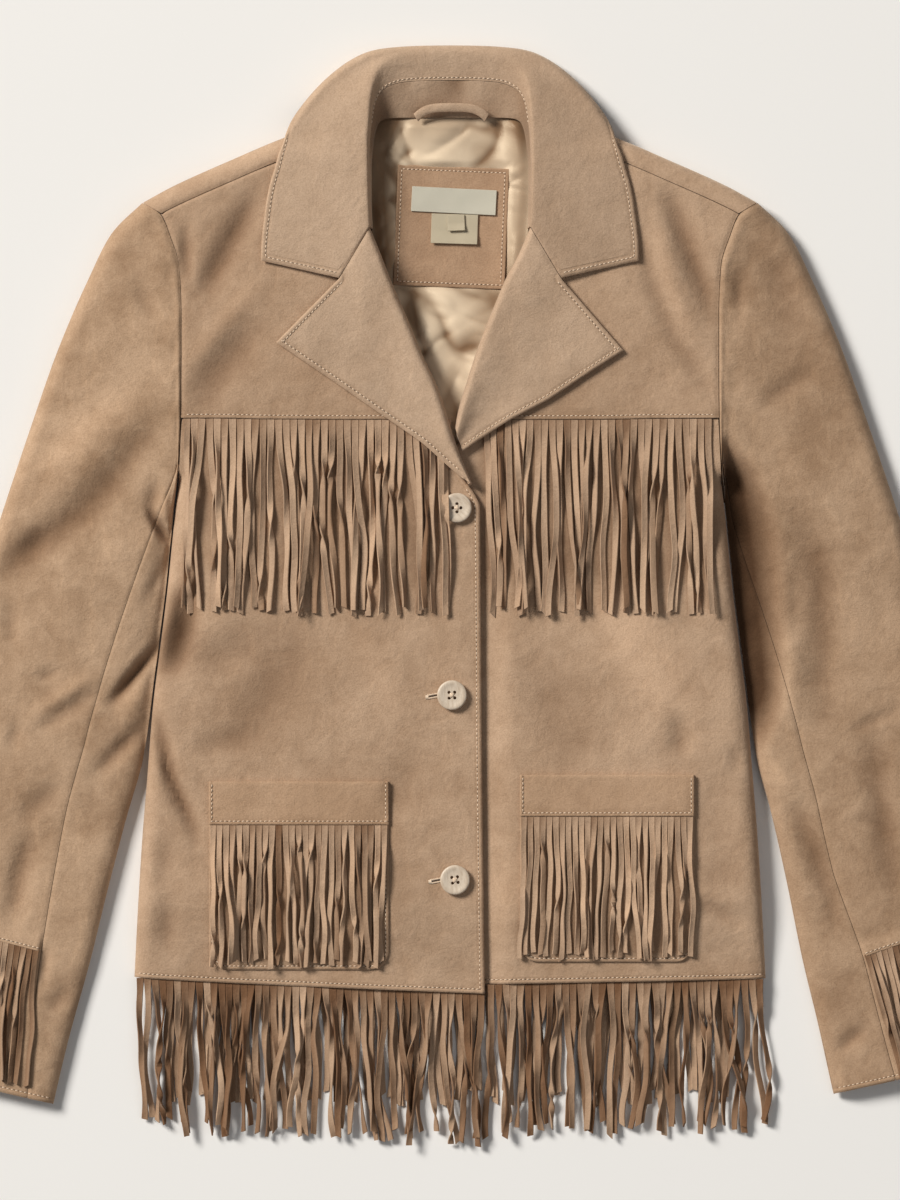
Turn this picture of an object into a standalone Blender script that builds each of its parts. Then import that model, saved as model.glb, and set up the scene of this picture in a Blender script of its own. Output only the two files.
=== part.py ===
"""A fringed suede jacket, laid out face up and buttoned.

Its back lies on the surface, its fronts and sleeves lie over it as softly flattened tubes, and its
collar and lapels are turned down. +X is the wearer's left, +Y points to the collar, +Z is up, and the
origin is the middle of the jacket's box, on the surface. Tables are in millimetres, with x measured
outwards from the centre front, so one table serves both sides. The solids are in metres.
"""

import math
from collections import namedtuple

import bmesh
import bpy
import numpy as np
from mathutils import Vector
from mathutils.bvhtree import BVHTree

MM = 0.001

# Driving sizes, in millimetres.
SUEDE = 1.5  # wall of the suede
DOUBLE = 2.4  # two suedes sewn together: collar, lapels
SATIN = 1.0  # wall of the lining
GAP = 0.3  # between pieces at a seam
CROWN = 19.0  # outer height of the laid body
HEM_CROWN = 11.0  # outer height at the hem
CUFF_CROWN = 13.0  # outer height at the cuffs
FOLD_RADIUS = 12.0  # plan radius of the side, shoulder and sleeve folds
UNDER_TURN = 17.0  # how far the fronts and sleeves turn under
LAYER = SUEDE + GAP  # one piece lying on another
YOKE_SEAM_Y = 126.0
UNDERARM_Y = 82.0
HEM_FADE = 70.0  # length over which the body flattens towards the hem
EDGE_DIP = 5.4  # the wearer's left front lies this much lower under the right one
SHOULDER_SEAM = 16.0  # the shoulder seam lies this far in front of the shoulder fold
BUTTON_DIAMETER = 21.5
BUTTON_THICK = 3.0
HOLE_RADIUS = 1.15
HOLE_OFF = 2.4  # each of the button's holes lies this far from its middle in x and in y

# How far each cuff lies out and down, how far out its forearm seam ends (as a share of the width), and
# the row of the sleeve from which its fringe hangs.
Side = namedtuple("Side", "name sign cuff_out cuff_down seam_out fringe_row")
RIGHT = Side("right", -1, 4.5, 3.6, 0.0, 10.0)  # the wearer's right, at -X
LEFT = Side("left", 1, -5.0, -3.6, 0.208, 10.16)

# The body's outline: the side fold below the underarm, the armhole seam above it.
Edge = namedtuple("Edge", "y x")
SIDE_EDGE = [
    Edge(-290, 228.0),
    Edge(-240, 225.5),
    Edge(-181, 222.0),
    Edge(-130, 218.0),
    Edge(-80, 214.0),
    Edge(-40, 209.0),
    Edge(5, 203.5),
    Edge(35, 200.5),
    Edge(60, 198.0),
    Edge(82, 195.5),
    Edge(118, 193.7),
    Edge(140, 192.4),
    Edge(200, 192.4),
    Edge(237, 193.8),
    Edge(258, 200.2),
    Edge(274, 208.3),
    Edge(282, 220.7),
]
Point = namedtuple("Point", "x y")
SHOULDER_FOLD = [
    Point(66, 343),
    Point(95, 337),
    Point(120, 328.5),
    Point(159, 312),
    Point(200, 293.5),
    Point(221, 282),
]
BACK_NECK_Y = 341.5
BACK_HEM_Y = -266.0

# The front edges, x outwards from the centre front: a negative x lies past the centre.
RIGHT_FRONT_EDGE = [
    Edge(-290, -25.2),
    Edge(-120, -23.0),
    Edge(62, -21.5),
    Edge(72, -17.5),
    Edge(84, -9.0),
    Edge(107, 2.0),
    Edge(126, 11.5),
]
LEFT_FRONT_EDGE = [Edge(-290, -20.0), Edge(75, -20.0), Edge(95, -8.0), Edge(107, 4.0), Edge(126, 11.5)]
FRONT_HEM = {"right": (-276.0, -288.0), "left": (-277.0, -282.0)}  # at the side fold, at the front edge

# The yoke: rows from the shoulder seam down to the yoke seam.
Row = namedtuple("Row", "outer_x outer_y inner_x inner_y")
YOKE = [
    Row(207.6, 272.6, 68, 327),
    Row(200.6, 257, 64, 298),
    Row(194.4, 236, 63, 264),
    Row(192.9, 200, 47, 224),
    Row(192.9, 163, 26, 176),
    Row(193.2, YOKE_SEAM_Y, 11.5, YOKE_SEAM_Y),
]

# The lapels: rows from the gorge seam down the roll line; the third row holds the lapel's point.
Lapel = namedtuple("Lapel", "roll_x roll_y edge_x edge_y")
RIGHT_LAPEL = [
    Lapel(57.6, 262.6, 79.6, 225.4),
    Lapel(50.0, 245.0, 102.0, 204.0),
    Lapel(42.8, 226.4, 125.0, 181.0),
    Lapel(31.0, 199.0, 86.0, 154.5),
    Lapel(20.2, 172.8, 47.0, 127.4),
    Lapel(8.0, 146.0, 20.2, 108.7),
    Lapel(-4.8, 106.6, 1.5, 92.0),
    Lapel(-16.0, 79.0, -8.0, 84.0),
]
LEFT_LAPEL = [
    Lapel(57.6, 260.8, 81.0, 223.8),
    Lapel(49.0, 243.5, 102.5, 199.5),
    Lapel(39.9, 226.4, 124.6, 175.0),
    Lapel(30.5, 204.0, 97.5, 157.4),
    Lapel(21.3, 181.0, 70.8, 139.7),
    Lapel(12.5, 154.0, 42.0, 124.5),
    Lapel(6.2, 133.0, 22.0, 111.5),
    Lapel(3.6, 120.0, 9.0, 102.5),
]
LAPEL_FOLD = 5.0  # plan radius of the roll
LAPEL_LIFT = 6.2  # outer height of the lapel's edge over the front
LAPEL_ROLL = 9.0  # outer height of the roll over the front
LAPEL_TUCK = 13.0  # how far the facing turns under the front

# The collar, one row a station from the gorge to the centre back. The leaf leaves the roll in the
# direction turn (degrees above +X), runs along the top, and where it is longer than its run it folds
# under. The stand drops from the roll to the neck seam.
Collar = namedtuple("Collar", "roll_x roll_y roll_z turn leaf run end_z seam_x seam_y seam_z dip")
COLLAR = [
    Collar(57.6, 264.2, 27.5, -17.4, 82.0, 200, 24.6, 55.5, 263, 12.5, 1.0),
    Collar(58.2, 274.0, 28.0, -3.0, 75.5, 200, 24.8, 56.0, 274, 12.2, 0.45),
    Collar(58.7, 286.0, 28.0, 9.0, 71.0, 200, 25.0, 56.3, 287, 12.0, 0.0),
    Collar(59.2, 306.0, 28.0, 8.5, 65.0, 200, 25.0, 56.3, 306, 11.5, 0.0),
    Collar(59.3, 324.0, 27.5, 8.0, 61.0, 56.0, 22.0, 55.0, 322, 10.5, 0.0),
    Collar(58.2, 344.0, 26.5, 16.0, 60.0, 41.0, 21.0, 53.0, 334, 9.0, 0.0),
    Collar(56.4, 362.0, 24.0, 34.0, 58.0, 24.0, 18.5, 50.0, 340, 7.6, 0.0),
    Collar(50.5, 378.0, 19.5, 55.0, 56.0, 10.0, 16.0, 44.0, 342.0, 6.6, 0.0),
    Collar(36.0, 387.0, 16.0, 78.0, 55.0, 2.0, 14.8, 32.0, 342.4, 6.0, 0.0),
    Collar(18.0, 389.0, 14.5, 87.0, 55.0, 0.8, 14.2, 16.0, 342.4, 5.7, 0.0),
    Collar(0.0, 389.5, 14.2, 90.0, 55.0, 0.5, 14.0, 0.0, 342.4, 5.6, 0.0),
]
COLLAR_NOTCH = (0.30, 79.9, 227.2)  # share of the leaf, x and y of the notch
COLLAR_FOLD = 5.5  # plan radius of the fold behind the neck
STAND_SHARE = 0.58  # share of the way from the neck seam to the roll

# The sleeves: rows from the armhole to the cuff, seam is where the forearm seam crosses, as a share.
Sleeve = namedtuple("Sleeve", "outer_x outer_y inner_x inner_y seam bow")
SLEEVE = [
    Sleeve(221.6, 281.6, 196.6, 81.0, 0.93, 1.0),
    Sleeve(243.0, 261.0, 199.2, 58.0, 0.90, 0.72),
    Sleeve(262.5, 223.0, 201.6, 35.0, 0.86, 0.40),
    Sleeve(283.0, 175.0, 204.6, 5.0, 0.82, 0.16),
    Sleeve(304.0, 115.0, 208.8, -28.0, 0.78, 0.05),
    Sleeve(324.0, 55.0, 213.2, -62.0, 0.745, 0.0),
    Sleeve(343.5, -6.0, 217.0, -92.0, 0.72, 0.0),
    Sleeve(359.0, -64.0, 221.5, -120.0, 0.705, 0.0),
    Sleeve(371.0, -120.0, 232.5, -160.0, 0.70, 0.0),
    Sleeve(380.5, -175.0, 245.0, -211.0, 0.715, 0.0),
    Sleeve(388.0, -230.0, 257.0, -264.0, 0.735, 0.0),
    Sleeve(394.5, -284.0, 270.5, -316.0, 0.785, 0.0),
    Sleeve(400.0, -337.0, 281.5, -363.8, 0.84, 0.0),
]
ARMHOLE = [  # the sleeve's edge at the armhole seam, from the shoulder fold to the underarm
    Point(221.6, 281.6),
    Point(214.6, 277.6),
    Point(208.3, 273.1),
    Point(201.3, 257.0),
    Point(195.0, 236.0),
    Point(193.4, 200.0),
    Point(193.4, 163.0),
    Point(193.9, 126.0),
    Point(194.9, 103.0),
    Point(196.6, 81.0),
]
INNER_SHARES = np.array([0, 0.3, 0.6, 0.82, 0.95, 1.0])  # across the under sleeve, seam to inner fold

# Soft folds: a ridge (or, with a minus, a trough) from one point to another. On the body x is +X.
Fold = namedtuple("Fold", "x0 y0 x1 y1 width height")
BODY_FOLDS = [
    Fold(-172, 240, -150, 165, 17, -1.6),
    Fold(140, 245, 172, 165, 18, -1.6),
    Fold(-95, 250, -130, 190, 17, -1.2),
    Fold(-150, 60, -185, -60, 22, 1.6),
    Fold(-110, -30, -150, -120, 24, -1.6),
    Fold(110, 10, 175, -100, 24, 1.6),
    Fold(60, -40, 95, -125, 22, -1.3),
    Fold(186, -140, 196, -240, 18, -1.5),
    Fold(-186, -150, -196, -240, 18, -1.5),
]
SLEEVE_FOLDS = [
    Fold(240, 235, 262, 130, 20, 1.6),
    Fold(212, 110, 300, 10, 20, -2.6),
    Fold(228, 70, 315, -20, 16, 2.0),
    Fold(225, 0, 262, -80, 18, -2.2),
    Fold(340, -30, 285, -100, 20, 1.8),
    Fold(245, -110, 300, -190, 18, -2.0),
    Fold(350, -140, 320, -230, 20, 1.8),
    Fold(268, -210, 285, -290, 16, -1.6),
]

# The fringes: strands of a suede strip, cut almost to its top.
STRAND_THICK = 1.3
STRIP_DEEP = 7.0
CHEST_FRINGE = 144.0
HEM_FRINGE = 108.5
BACK_FRINGE = 100.0
POCKET_FRINGE = 103.0
CUFF_SHARE = 0.965  # the cuff's strands end just short of its hem

# The patch pockets, x outwards: outer and inner sides, top, foot of the band, and bottom.
Pocket = namedtuple("Pocket", "outer_x inner_x top_y band_y bottom_y corner")
POCKETS = {
    "right": Pocket(173.5, 44.0, -134.8, -166.0, -270.5, 14.0),
    "left": Pocket(175.8, 50.2, -130.0, -160.0, -265.0, 14.0),
}
BUTTONS = {"top": Point(5.0, 62.0), "middle": Point(1.4, -72.7), "bottom": Point(3.6, -205.6)}

# The neck: lining, patch, labels and hanger loop. half_x is half the lining's width.
Lining = namedtuple("Lining", "y half_x edge_z")
LINING = [
    Lining(342.0, 47.0, 4.6),
    Lining(334, 53.0, 6.4),
    Lining(322, 55.0, 8.2),
    Lining(300, 56.0, 9.4),
    Lining(262, 55.0, 9.8),
    Lining(226, 50.0, 10.5),
    Lining(173, 34.0, 10.0),
    Lining(137, 24.0, 9.0),
    Lining(100, 16.0, 7.5),
]
LINING_Z = 3.2
Tag = namedtuple("Tag", "x y width height tilt lift thick")
LABEL_PATCH = Tag(0.9, 264.6, 80.5, 87.0, -2.3, 2 * GAP + SUEDE, SUEDE)
MAIN_LABEL = Tag(2.8, 283.5, 61.0, 18.0, -2.9, 3 * GAP + SUEDE + SATIN, SATIN)
CARE_TAB = Tag(3.2, 263.2, 33.5, 21.4, -1.8, 3 * GAP + SUEDE + SATIN, SATIN)
SIZE_TAB = Tag(4.4, 267.6, 12.4, 11.4, 2.0, 4 * GAP + SUEDE + 2 * SATIN, SATIN)

SUEDE_LOOK = ("suede", (0.47, 0.32, 0.20), 0.95)
SATIN_LOOK = ("satin", (0.60, 0.47, 0.31), 0.35)
LABEL_LOOK = ("label_cloth", (0.55, 0.52, 0.42), 0.8)
BUTTON_LOOK = ("horn_button", (0.52, 0.43, 0.32), 0.55)


# Curves and heights ---------------------------------------------------------------------------


def through(knots, values, at):
    """The value at a place, read from a smooth curve through (knots, values) with no overshoot."""
    knots, values = np.asarray(knots, float), np.asarray(values, float)
    wide = np.diff(knots) if values.ndim == 1 else np.diff(knots)[:, None]
    steps = np.diff(values, axis=0) / wide
    slopes = np.concatenate([steps[:1], np.zeros_like(values[1:-1]), steps[-1:]])
    before, after = steps[:-1], steps[1:]
    same = before * after > 0
    slopes[1:-1][same] = (2 * before * after)[same] / (before + after)[same]
    i = np.clip(np.searchsorted(knots, at, side="right") - 1, 0, len(knots) - 2)
    span = knots[i + 1] - knots[i]
    t = np.clip((np.asarray(at, float) - knots[i]) / span, 0, 1)
    if values.ndim > 1:
        t, span = np.expand_dims(t, -1), np.expand_dims(span, -1)
    a, b, sa, sb = values[i], values[i + 1], slopes[i] * span, slopes[i + 1] * span
    return a + t * (sa + t * (3 * (b - a) - 2 * sa - sb + t * (2 * (a - b) + sa + sb)))


def column(rows, name):
    return [getattr(row, name) for row in rows]


def smoothstep(low, high, value):
    t = np.clip((value - low) / (high - low), 0, 1)
    return t * t * (3 - 2 * t)


def side_x(y):
    return through(column(SIDE_EDGE, "y"), column(SIDE_EDGE, "x"), y)


def shoulder_y(x):
    return through(column(SHOULDER_FOLD, "x"), column(SHOULDER_FOLD, "y"), x)


def rounding(distance):
    """From 0 at a folded edge to 1 where the panel lies flat, as a quarter of an ellipse."""
    near = 1 - np.clip(distance / FOLD_RADIUS, 0, 1)
    return np.sqrt(1 - near * near)


def folds_at(folds, x, y):
    """The height that the soft folds add at (x, y)."""
    total = 0.0
    for fold in folds:
        along = np.array([fold.x1 - fold.x0, fold.y1 - fold.y0], float)
        length = np.hypot(*along)
        along /= length
        run = (x - fold.x0) * along[0] + (y - fold.y0) * along[1]
        off = (x - fold.x0) * along[1] - (y - fold.y0) * along[0]
        ends = smoothstep(-0.35, 0.3, run / length) * smoothstep(1.35, 0.7, run / length)
        total += fold.height * ends * np.exp(-((off / fold.width) ** 2))
    return total


def crown_at(y, hem_y=-282.0):
    return HEM_CROWN + (CROWN - HEM_CROWN) * smoothstep(hem_y, hem_y + HEM_FADE, y)


def front_height(side, x, y):
    """Outer height of the lower front at x, y; pieces on it add to this."""
    crown = crown_at(y)
    inwards = side_x(y) - x
    to_side = np.hypot(np.maximum(inwards, 0), np.maximum(0, y - UNDERARM_Y))
    to_shoulder = np.where(x > 66, (shoulder_y(np.maximum(x, 66)) - y) * 0.91, 99)
    share = rounding(np.minimum(to_side, to_shoulder))
    height = crown * (0.5 + 0.5 * share)
    height += folds_at(BODY_FOLDS, side.sign * x, y) * share
    if side is LEFT:
        height -= EDGE_DIP * smoothstep(46, 24, x) * smoothstep(150, 103, y)
    return height


def folded_edge(crown, folding, angles):
    """(distance from the fold, height) round a folded edge, from -90 degrees below to 90 above."""
    turns = [math.radians(angle) for angle in angles]
    return [(folding * (1 - math.cos(a)), crown / 2 * (1 + math.sin(a))) for a in turns]


EDGE_ANGLES = (-90, -45, 0, 45, 90)


# Objects --------------------------------------------------------------------------------------


def material(look):
    name, colour, roughness = look
    found = bpy.data.materials.get(name)
    if found:
        return found
    made = bpy.data.materials.new(name)
    made.use_nodes = True
    shader = made.node_tree.nodes["Principled BSDF"]
    shader.inputs["Base Color"].default_value = (*colour, 1)
    shader.inputs["Roughness"].default_value = roughness
    return made


def add_object(name, vertices, faces, look, smooth=True):
    """An object from vertices in millimetres."""
    mesh = bpy.data.meshes.new(name)
    mesh.from_pydata([tuple(float(c) * MM for c in v) for v in vertices], [], faces)
    mesh.update()
    made = bpy.data.objects.new(name, mesh)
    jacket.objects.link(made)
    mesh.materials.append(material(look))
    if smooth:
        mesh.shade_smooth()
    return made


def add_wall(name, grid, look, thick=SUEDE, flip=False, skip=lambda row, col: False):
    """A sheet of cloth: quads over a grid of outer points, thickened inwards by Solidify."""
    grid = np.asarray(grid, float)
    rows, cols = grid.shape[:2]
    faces = []
    for r in range(rows - 1):
        for c in range(cols - 1):
            if not skip(r, c):
                face = (r * cols + c, r * cols + c + 1, (r + 1) * cols + c + 1, (r + 1) * cols + c)
                faces.append(face[::-1] if flip else face)
    used = sorted({i for face in faces for i in face})
    place = {old: new for new, old in enumerate(used)}
    points = grid.reshape(-1, 3)[used]
    made = add_object(name, points, [tuple(place[i] for i in face) for face in faces], look)
    wall = made.modifiers.new("wall", "SOLIDIFY")
    wall.thickness = thick * MM
    wall.offset = -1
    return made


def bed_of(panel):
    """A function that gives the height of a panel's outer face at (x, y), in millimetres."""
    mesh = panel.data
    tree = BVHTree.FromPolygons([v.co for v in mesh.vertices], [p.vertices for p in mesh.polygons])

    def height(x, y):
        hit = tree.ray_cast(Vector((x * MM, y * MM, 1.0)), Vector((0, 0, -1)))[0]
        if hit is None:
            hit = tree.find_nearest(Vector((x * MM, y * MM, CROWN * MM)))[0]
        return hit.z / MM

    return height


def add_comb(name, tops, slits, strands, thick=STRAND_THICK):
    """A fringe: a strip between its top edge and the slits' ends, with a strand between each two slits.

    tops and slits are (point, up) pairs, one more than there are strands. A strand is a list of
    (point, across, up, width), from its first section below the slit to its tip.
    """
    vertices, faces = [], []

    def add(point, up):
        vertices.extend([point, point - up * thick])
        return len(vertices) - 2

    top = [add(*t) for t in tops]
    slit = [add(*s) for s in slits]
    last = len(strands)
    faces.append((top[0], slit[0], slit[0] + 1, top[0] + 1))
    faces.append((slit[last], top[last], top[last] + 1, slit[last] + 1))
    for k, strand in enumerate(strands):
        faces.append((top[k], top[k + 1], slit[k + 1], slit[k]))
        faces.append((top[k] + 1, slit[k] + 1, slit[k + 1] + 1, top[k + 1] + 1))
        faces.append((top[k], top[k] + 1, top[k + 1] + 1, top[k + 1]))
        left, right = slit[k], slit[k + 1]
        for point, across, up, width in strand:
            new_left = add(point - across * width / 2, up)
            new_right = add(point + across * width / 2, up)
            faces.append((left, right, new_right, new_left))
            faces.append((left + 1, new_left + 1, new_right + 1, right + 1))
            faces.append((left, new_left, new_left + 1, left + 1))
            faces.append((right, right + 1, new_right + 1, new_right))
            left, right = new_left, new_right
        faces.append((left, right, right + 1, left + 1))
    made = add_object(name, vertices, [face[::-1] for face in faces], SUEDE_LOOK, smooth=False)
    return made


# Body -----------------------------------------------------------------------------------------


def hem_y(side, share):
    """The front's hem, from the side fold (0) to the front edge (1)."""
    outer, inner = FRONT_HEM[side.name]
    return outer + (inner - outer) * share ** 0.8


def front_edge_x(side, y):
    edge = RIGHT_FRONT_EDGE if side is RIGHT else LEFT_FRONT_EDGE
    return through(column(edge, "y"), column(edge, "x"), y)


def front_lines(side):
    """The panel's grid lines in x and y. They hold the pocket's edges, so the pocket lies on them."""
    pocket = POCKETS[side.name]
    xs = list(np.linspace(pocket.outer_x, pocket.inner_x, 7))
    inner_xs = [24.0] if side is RIGHT else [36.0, 24.0]
    low = pocket.bottom_y + pocket.corner
    ys = [YOKE_SEAM_Y - GAP, 114.0, 103.0, UNDERARM_Y, 68.0]
    ys += list(np.linspace(UNDERARM_Y, pocket.top_y, 9)[1:])
    ys += [(pocket.top_y + pocket.band_y) / 2, *np.linspace(pocket.band_y, low, 4), pocket.bottom_y]
    return xs, inner_xs, ys


def add_front(side):
    """The lower front, from the front edge out to the side, where it turns under and meets the back."""
    pocket_xs, inner_xs, ys = front_lines(side)
    grid = []
    for y in [*ys, None]:
        level = ys[-1] if y is None else y
        edge_x = float(side_x(level))
        fold = edge_x - FOLD_RADIUS
        inner = float(front_edge_x(side, level))
        xs = [edge_x - FOLD_RADIUS * (1 - math.cos(math.radians(a))) for a in EDGE_ANGLES[2:]]
        xs += [(fold + pocket_xs[0]) / 2, *pocket_xs, *inner_xs, inner]
        row = [(edge_x - UNDER_TURN, level if y is not None else hem_y(side, 0), 0.0)]
        for distance, height in folded_edge(float(crown_at(level)), FOLD_RADIUS, EDGE_ANGLES[:2]):
            row.append((edge_x - distance, level if y is not None else hem_y(side, 0), height))
        for x in xs:
            here = y if y is not None else hem_y(side, np.clip((edge_x - x) / (edge_x - inner), 0, 1))
            row.append((x, here, float(front_height(side, x, here))))
        grid.append([(side.sign * x, here, z) for x, here, z in row])
    skip = lambda r, c: r < 3 and c < 3
    return add_wall(f"front_{side.name}", grid, SUEDE_LOOK, flip=side is RIGHT, skip=skip)


def yoke_rows(count):
    shares = np.linspace(0, len(YOKE) - 1, count)
    return through(range(len(YOKE)), np.array(YOKE, float), shares)


def add_yoke(side, rows=9, cols=11):
    grid = []
    top = YOKE[0]
    for r, (outer_x, outer_y, inner_x, inner_y) in enumerate(yoke_rows(rows)):
        top_xs = np.linspace(top.outer_x, top.inner_x, cols)
        straight = np.linspace(top.outer_y, top.inner_y, cols)
        bend = (shoulder_y(top_xs) - SHOULDER_SEAM - straight) * (1 - r / (rows - 1)) ** 2
        xs = np.linspace(outer_x, inner_x, cols)
        ys = np.linspace(outer_y, inner_y, cols) + bend
        heights = [float(front_height(side, x, y)) + LAYER for x, y in zip(xs, ys)]
        grid.append([(side.sign * x, y, z) for x, y, z in zip(xs, ys, heights)])
    return add_wall(f"front_yoke_{side.name}", grid, SUEDE_LOOK, flip=side is RIGHT)


def add_back():
    """The back lies flat from side to side, and turns up over each shoulder to the shoulder seam."""
    turn_xs = list(np.linspace(YOKE[0].outer_x, YOKE[0].inner_x, 6))
    xs = sorted([-x for x in turn_xs] + turn_xs + [-35, 0, 35])
    levels = [BACK_HEM_Y, -180.0, -95.0, -10.0, UNDERARM_Y + GAP, UNDERARM_Y + 9, 155.0, 225.0, None]
    grid = []
    for level in levels:
        row = []
        for x in xs:
            top = float(shoulder_y(abs(x))) - FOLD_RADIUS if abs(x) > 66 else BACK_NECK_Y
            y = top if level is None else level
            half = float(side_x(y)) - (UNDER_TURN + GAP if y < UNDERARM_Y + 1 else GAP)
            edge = abs(x) == turn_xs[0]
            row.append((math.copysign(min(half, turn_xs[0]), x) if edge else x, y, 0.0))
        grid.append(row)
    angles = (-45, 0, 45, 90)
    for distance, height in folded_edge(CROWN + LAYER, FOLD_RADIUS, angles):
        grid.append([over_shoulder(x, distance, height) for x in xs])
    grid.append([over_shoulder(x, SHOULDER_SEAM - 2 * GAP, CROWN + LAYER) for x in xs])
    neck = {c for c in range(len(xs) - 1) if abs(xs[c] + xs[c + 1]) < 2 * 66}
    skip = lambda r, c: r >= len(levels) - 1 and c in neck
    return add_wall("back", grid, SUEDE_LOOK, skip=skip, flip=True)


def over_shoulder(x, distance, height):
    """A point in front of the shoulder fold; the outermost follow the armhole."""
    size = abs(x)
    if size > 205:
        size = 220.3 - 13.2 * distance / SHOULDER_SEAM
    return (math.copysign(size, x), float(shoulder_y(max(size, 66))) - distance, height)


# Sleeves --------------------------------------------------------------------------------------


def sleeve_row(side, at):
    """The sleeve's row at a place counted in rows of the table, moved as this side's cuff lies."""
    row = through(range(len(SLEEVE)), np.array(SLEEVE, float), at)
    outer_x, outer_y, inner_x, inner_y, seam, bow = row
    moved = smoothstep(5.5, 12.0, at)
    inner_moved = smoothstep(7.0, 12.0, at)
    return Sleeve(
        outer_x + side.cuff_out * moved / 2,
        outer_y - side.cuff_down * moved,
        inner_x + side.cuff_out * inner_moved,
        inner_y - side.cuff_down * inner_moved,
        seam - side.seam_out * (max(at - 9, 0) / 3) ** 1.4,
        bow,
    )


def sleeve_crown(at):
    return CROWN + LAYER * smoothstep(3, 0, at) - (CROWN - CUFF_CROWN) * smoothstep(2, 12, at)


def sleeve_plan(row, share):
    """x and y on a row, from the outer fold (0) to the inner fold (1)."""
    outer, inner = np.array([row.outer_x, row.outer_y]), np.array([row.inner_x, row.inner_y])
    straight = outer + (inner - outer) * share
    if row.bow < 0.01:
        return straight
    points = np.array(ARMHOLE, float)
    shares = np.concatenate([[0], np.cumsum(np.hypot(*np.diff(points, axis=0).T))])
    seam = through(shares / shares[-1], points, share)
    return straight + row.bow * (seam - points[0] - (points[-1] - points[0]) * share)


def sleeve_top_point(side, at, share, lift=0.0):
    """A point of the sleeve's upper layer."""
    row = sleeve_row(side, at)
    x, y = sleeve_plan(row, share)
    wide = math.hypot(row.outer_x - row.inner_x, row.outer_y - row.inner_y)
    crown = float(sleeve_crown(at))
    level = float(rounding(min(share, 1 - share) * wide))
    height = crown * (0.5 + 0.5 * level) + float(folds_at(SLEEVE_FOLDS, x, y)) * level
    return np.array([side.sign * x, y, height + lift])


def sleeve_under_point(side, at, share):
    row = sleeve_row(side, at)
    x, y = sleeve_plan(row, share)
    wide = math.hypot(row.outer_x - row.inner_x, row.outer_y - row.inner_y)
    level = float(rounding(min(share, 1 - share) * wide))
    return np.array([side.sign * x, y, float(sleeve_crown(at)) * 0.5 * (1 - level)])


def fold_shares(wide, angles):
    return [FOLD_RADIUS * (1 - math.cos(math.radians(a))) / wide for a in angles]


def add_sleeve(side, rows=21):
    """Two walls: the top sleeve from the forearm seam out round the outer fold, and the under sleeve."""
    top_grid, under_grid = [], []
    for at in np.linspace(0, len(SLEEVE) - 1, rows):
        row = sleeve_row(side, at)
        wide = math.hypot(row.outer_x - row.inner_x, row.outer_y - row.inner_y)
        seam, gap, hind = row.seam, (0.6 if at > 1 else 1.8) * GAP / wide, UNDER_TURN / wide
        flat, turn = fold_shares(wide, (90, 45))
        outer = [sleeve_under_point(side, at, s) for s in (hind - gap, flat, turn)]
        outer += [sleeve_top_point(side, at, s) for s in (0.0, turn, flat)]
        outer += [sleeve_top_point(side, at, s) for s in np.linspace(flat, seam - gap, 8)[1:]]
        inner = [sleeve_top_point(side, at, s) for s in seam + gap + (1 - seam - gap) * INNER_SHARES]
        inner += [sleeve_under_point(side, at, s) for s in (1 - turn, 1 - flat, 0.5, hind + gap)]
        top_grid.append(outer)
        under_grid.append(inner)
    flip = side is RIGHT
    return (
        add_wall(f"sleeve_top_{side.name}", top_grid, SUEDE_LOOK, flip=flip),
        add_wall(f"sleeve_under_{side.name}", under_grid, SUEDE_LOOK, flip=flip),
    )


# Collar and lapels ----------------------------------------------------------------------------


def add_lapel(side, rows=11):
    """The lapel: from its edge over the front to the roll, and round it under the front's edge."""
    table = RIGHT_LAPEL if side is RIGHT else LEFT_LAPEL
    places = sorted(set(np.linspace(0, len(table) - 1, rows)) | {2.0})
    grid = []
    for place in places:
        near = int(min(place, len(table) - 1.001))
        step = place - near
        a, b = np.array(table[near], float), np.array(table[near + 1], float)
        roll_x, roll_y, edge_x, edge_y = a + (b - a) * step
        roll, edge = np.array([roll_x, roll_y]), np.array([edge_x, edge_y])
        wide = float(np.hypot(*(edge - roll)))
        out = (edge - roll) / wide
        slim = min(1.0, wide / 22)
        turn = LAPEL_FOLD * slim
        under = -SUEDE - GAP - DOUBLE
        row = []
        for distance in (min(LAPEL_TUCK, wide * 0.75), turn):
            x, y = roll + out * distance
            row.append((x, y, front_height(side, x, y) + under))
        x, y = roll + out * turn
        high, low = LAPEL_ROLL * slim + LAPEL_LIFT * (1 - slim), under
        middle, half = (high + low) / 2, (high - low) / 2
        for angle in np.radians([-35, 20, 62]):
            px, py = roll + out * turn * (1 - math.cos(angle))
            row.append((px, py, front_height(side, x, y) + middle + half * math.sin(angle)))
        for share in (0.0, 0.22, 0.5, 1.0):
            distance = turn + (wide - turn) * share
            px, py = roll + out * distance
            lift = high + (LAPEL_LIFT - high) * smoothstep(0, 0.6, share)
            row.append((px, py, front_height(side, px, py) + lift))
        grid.append([(side.sign * px, py, pz) for px, py, pz in row])
    return add_wall(f"lapel_{side.name}", grid, SUEDE_LOOK, thick=DOUBLE, flip=side is LEFT)


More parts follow.
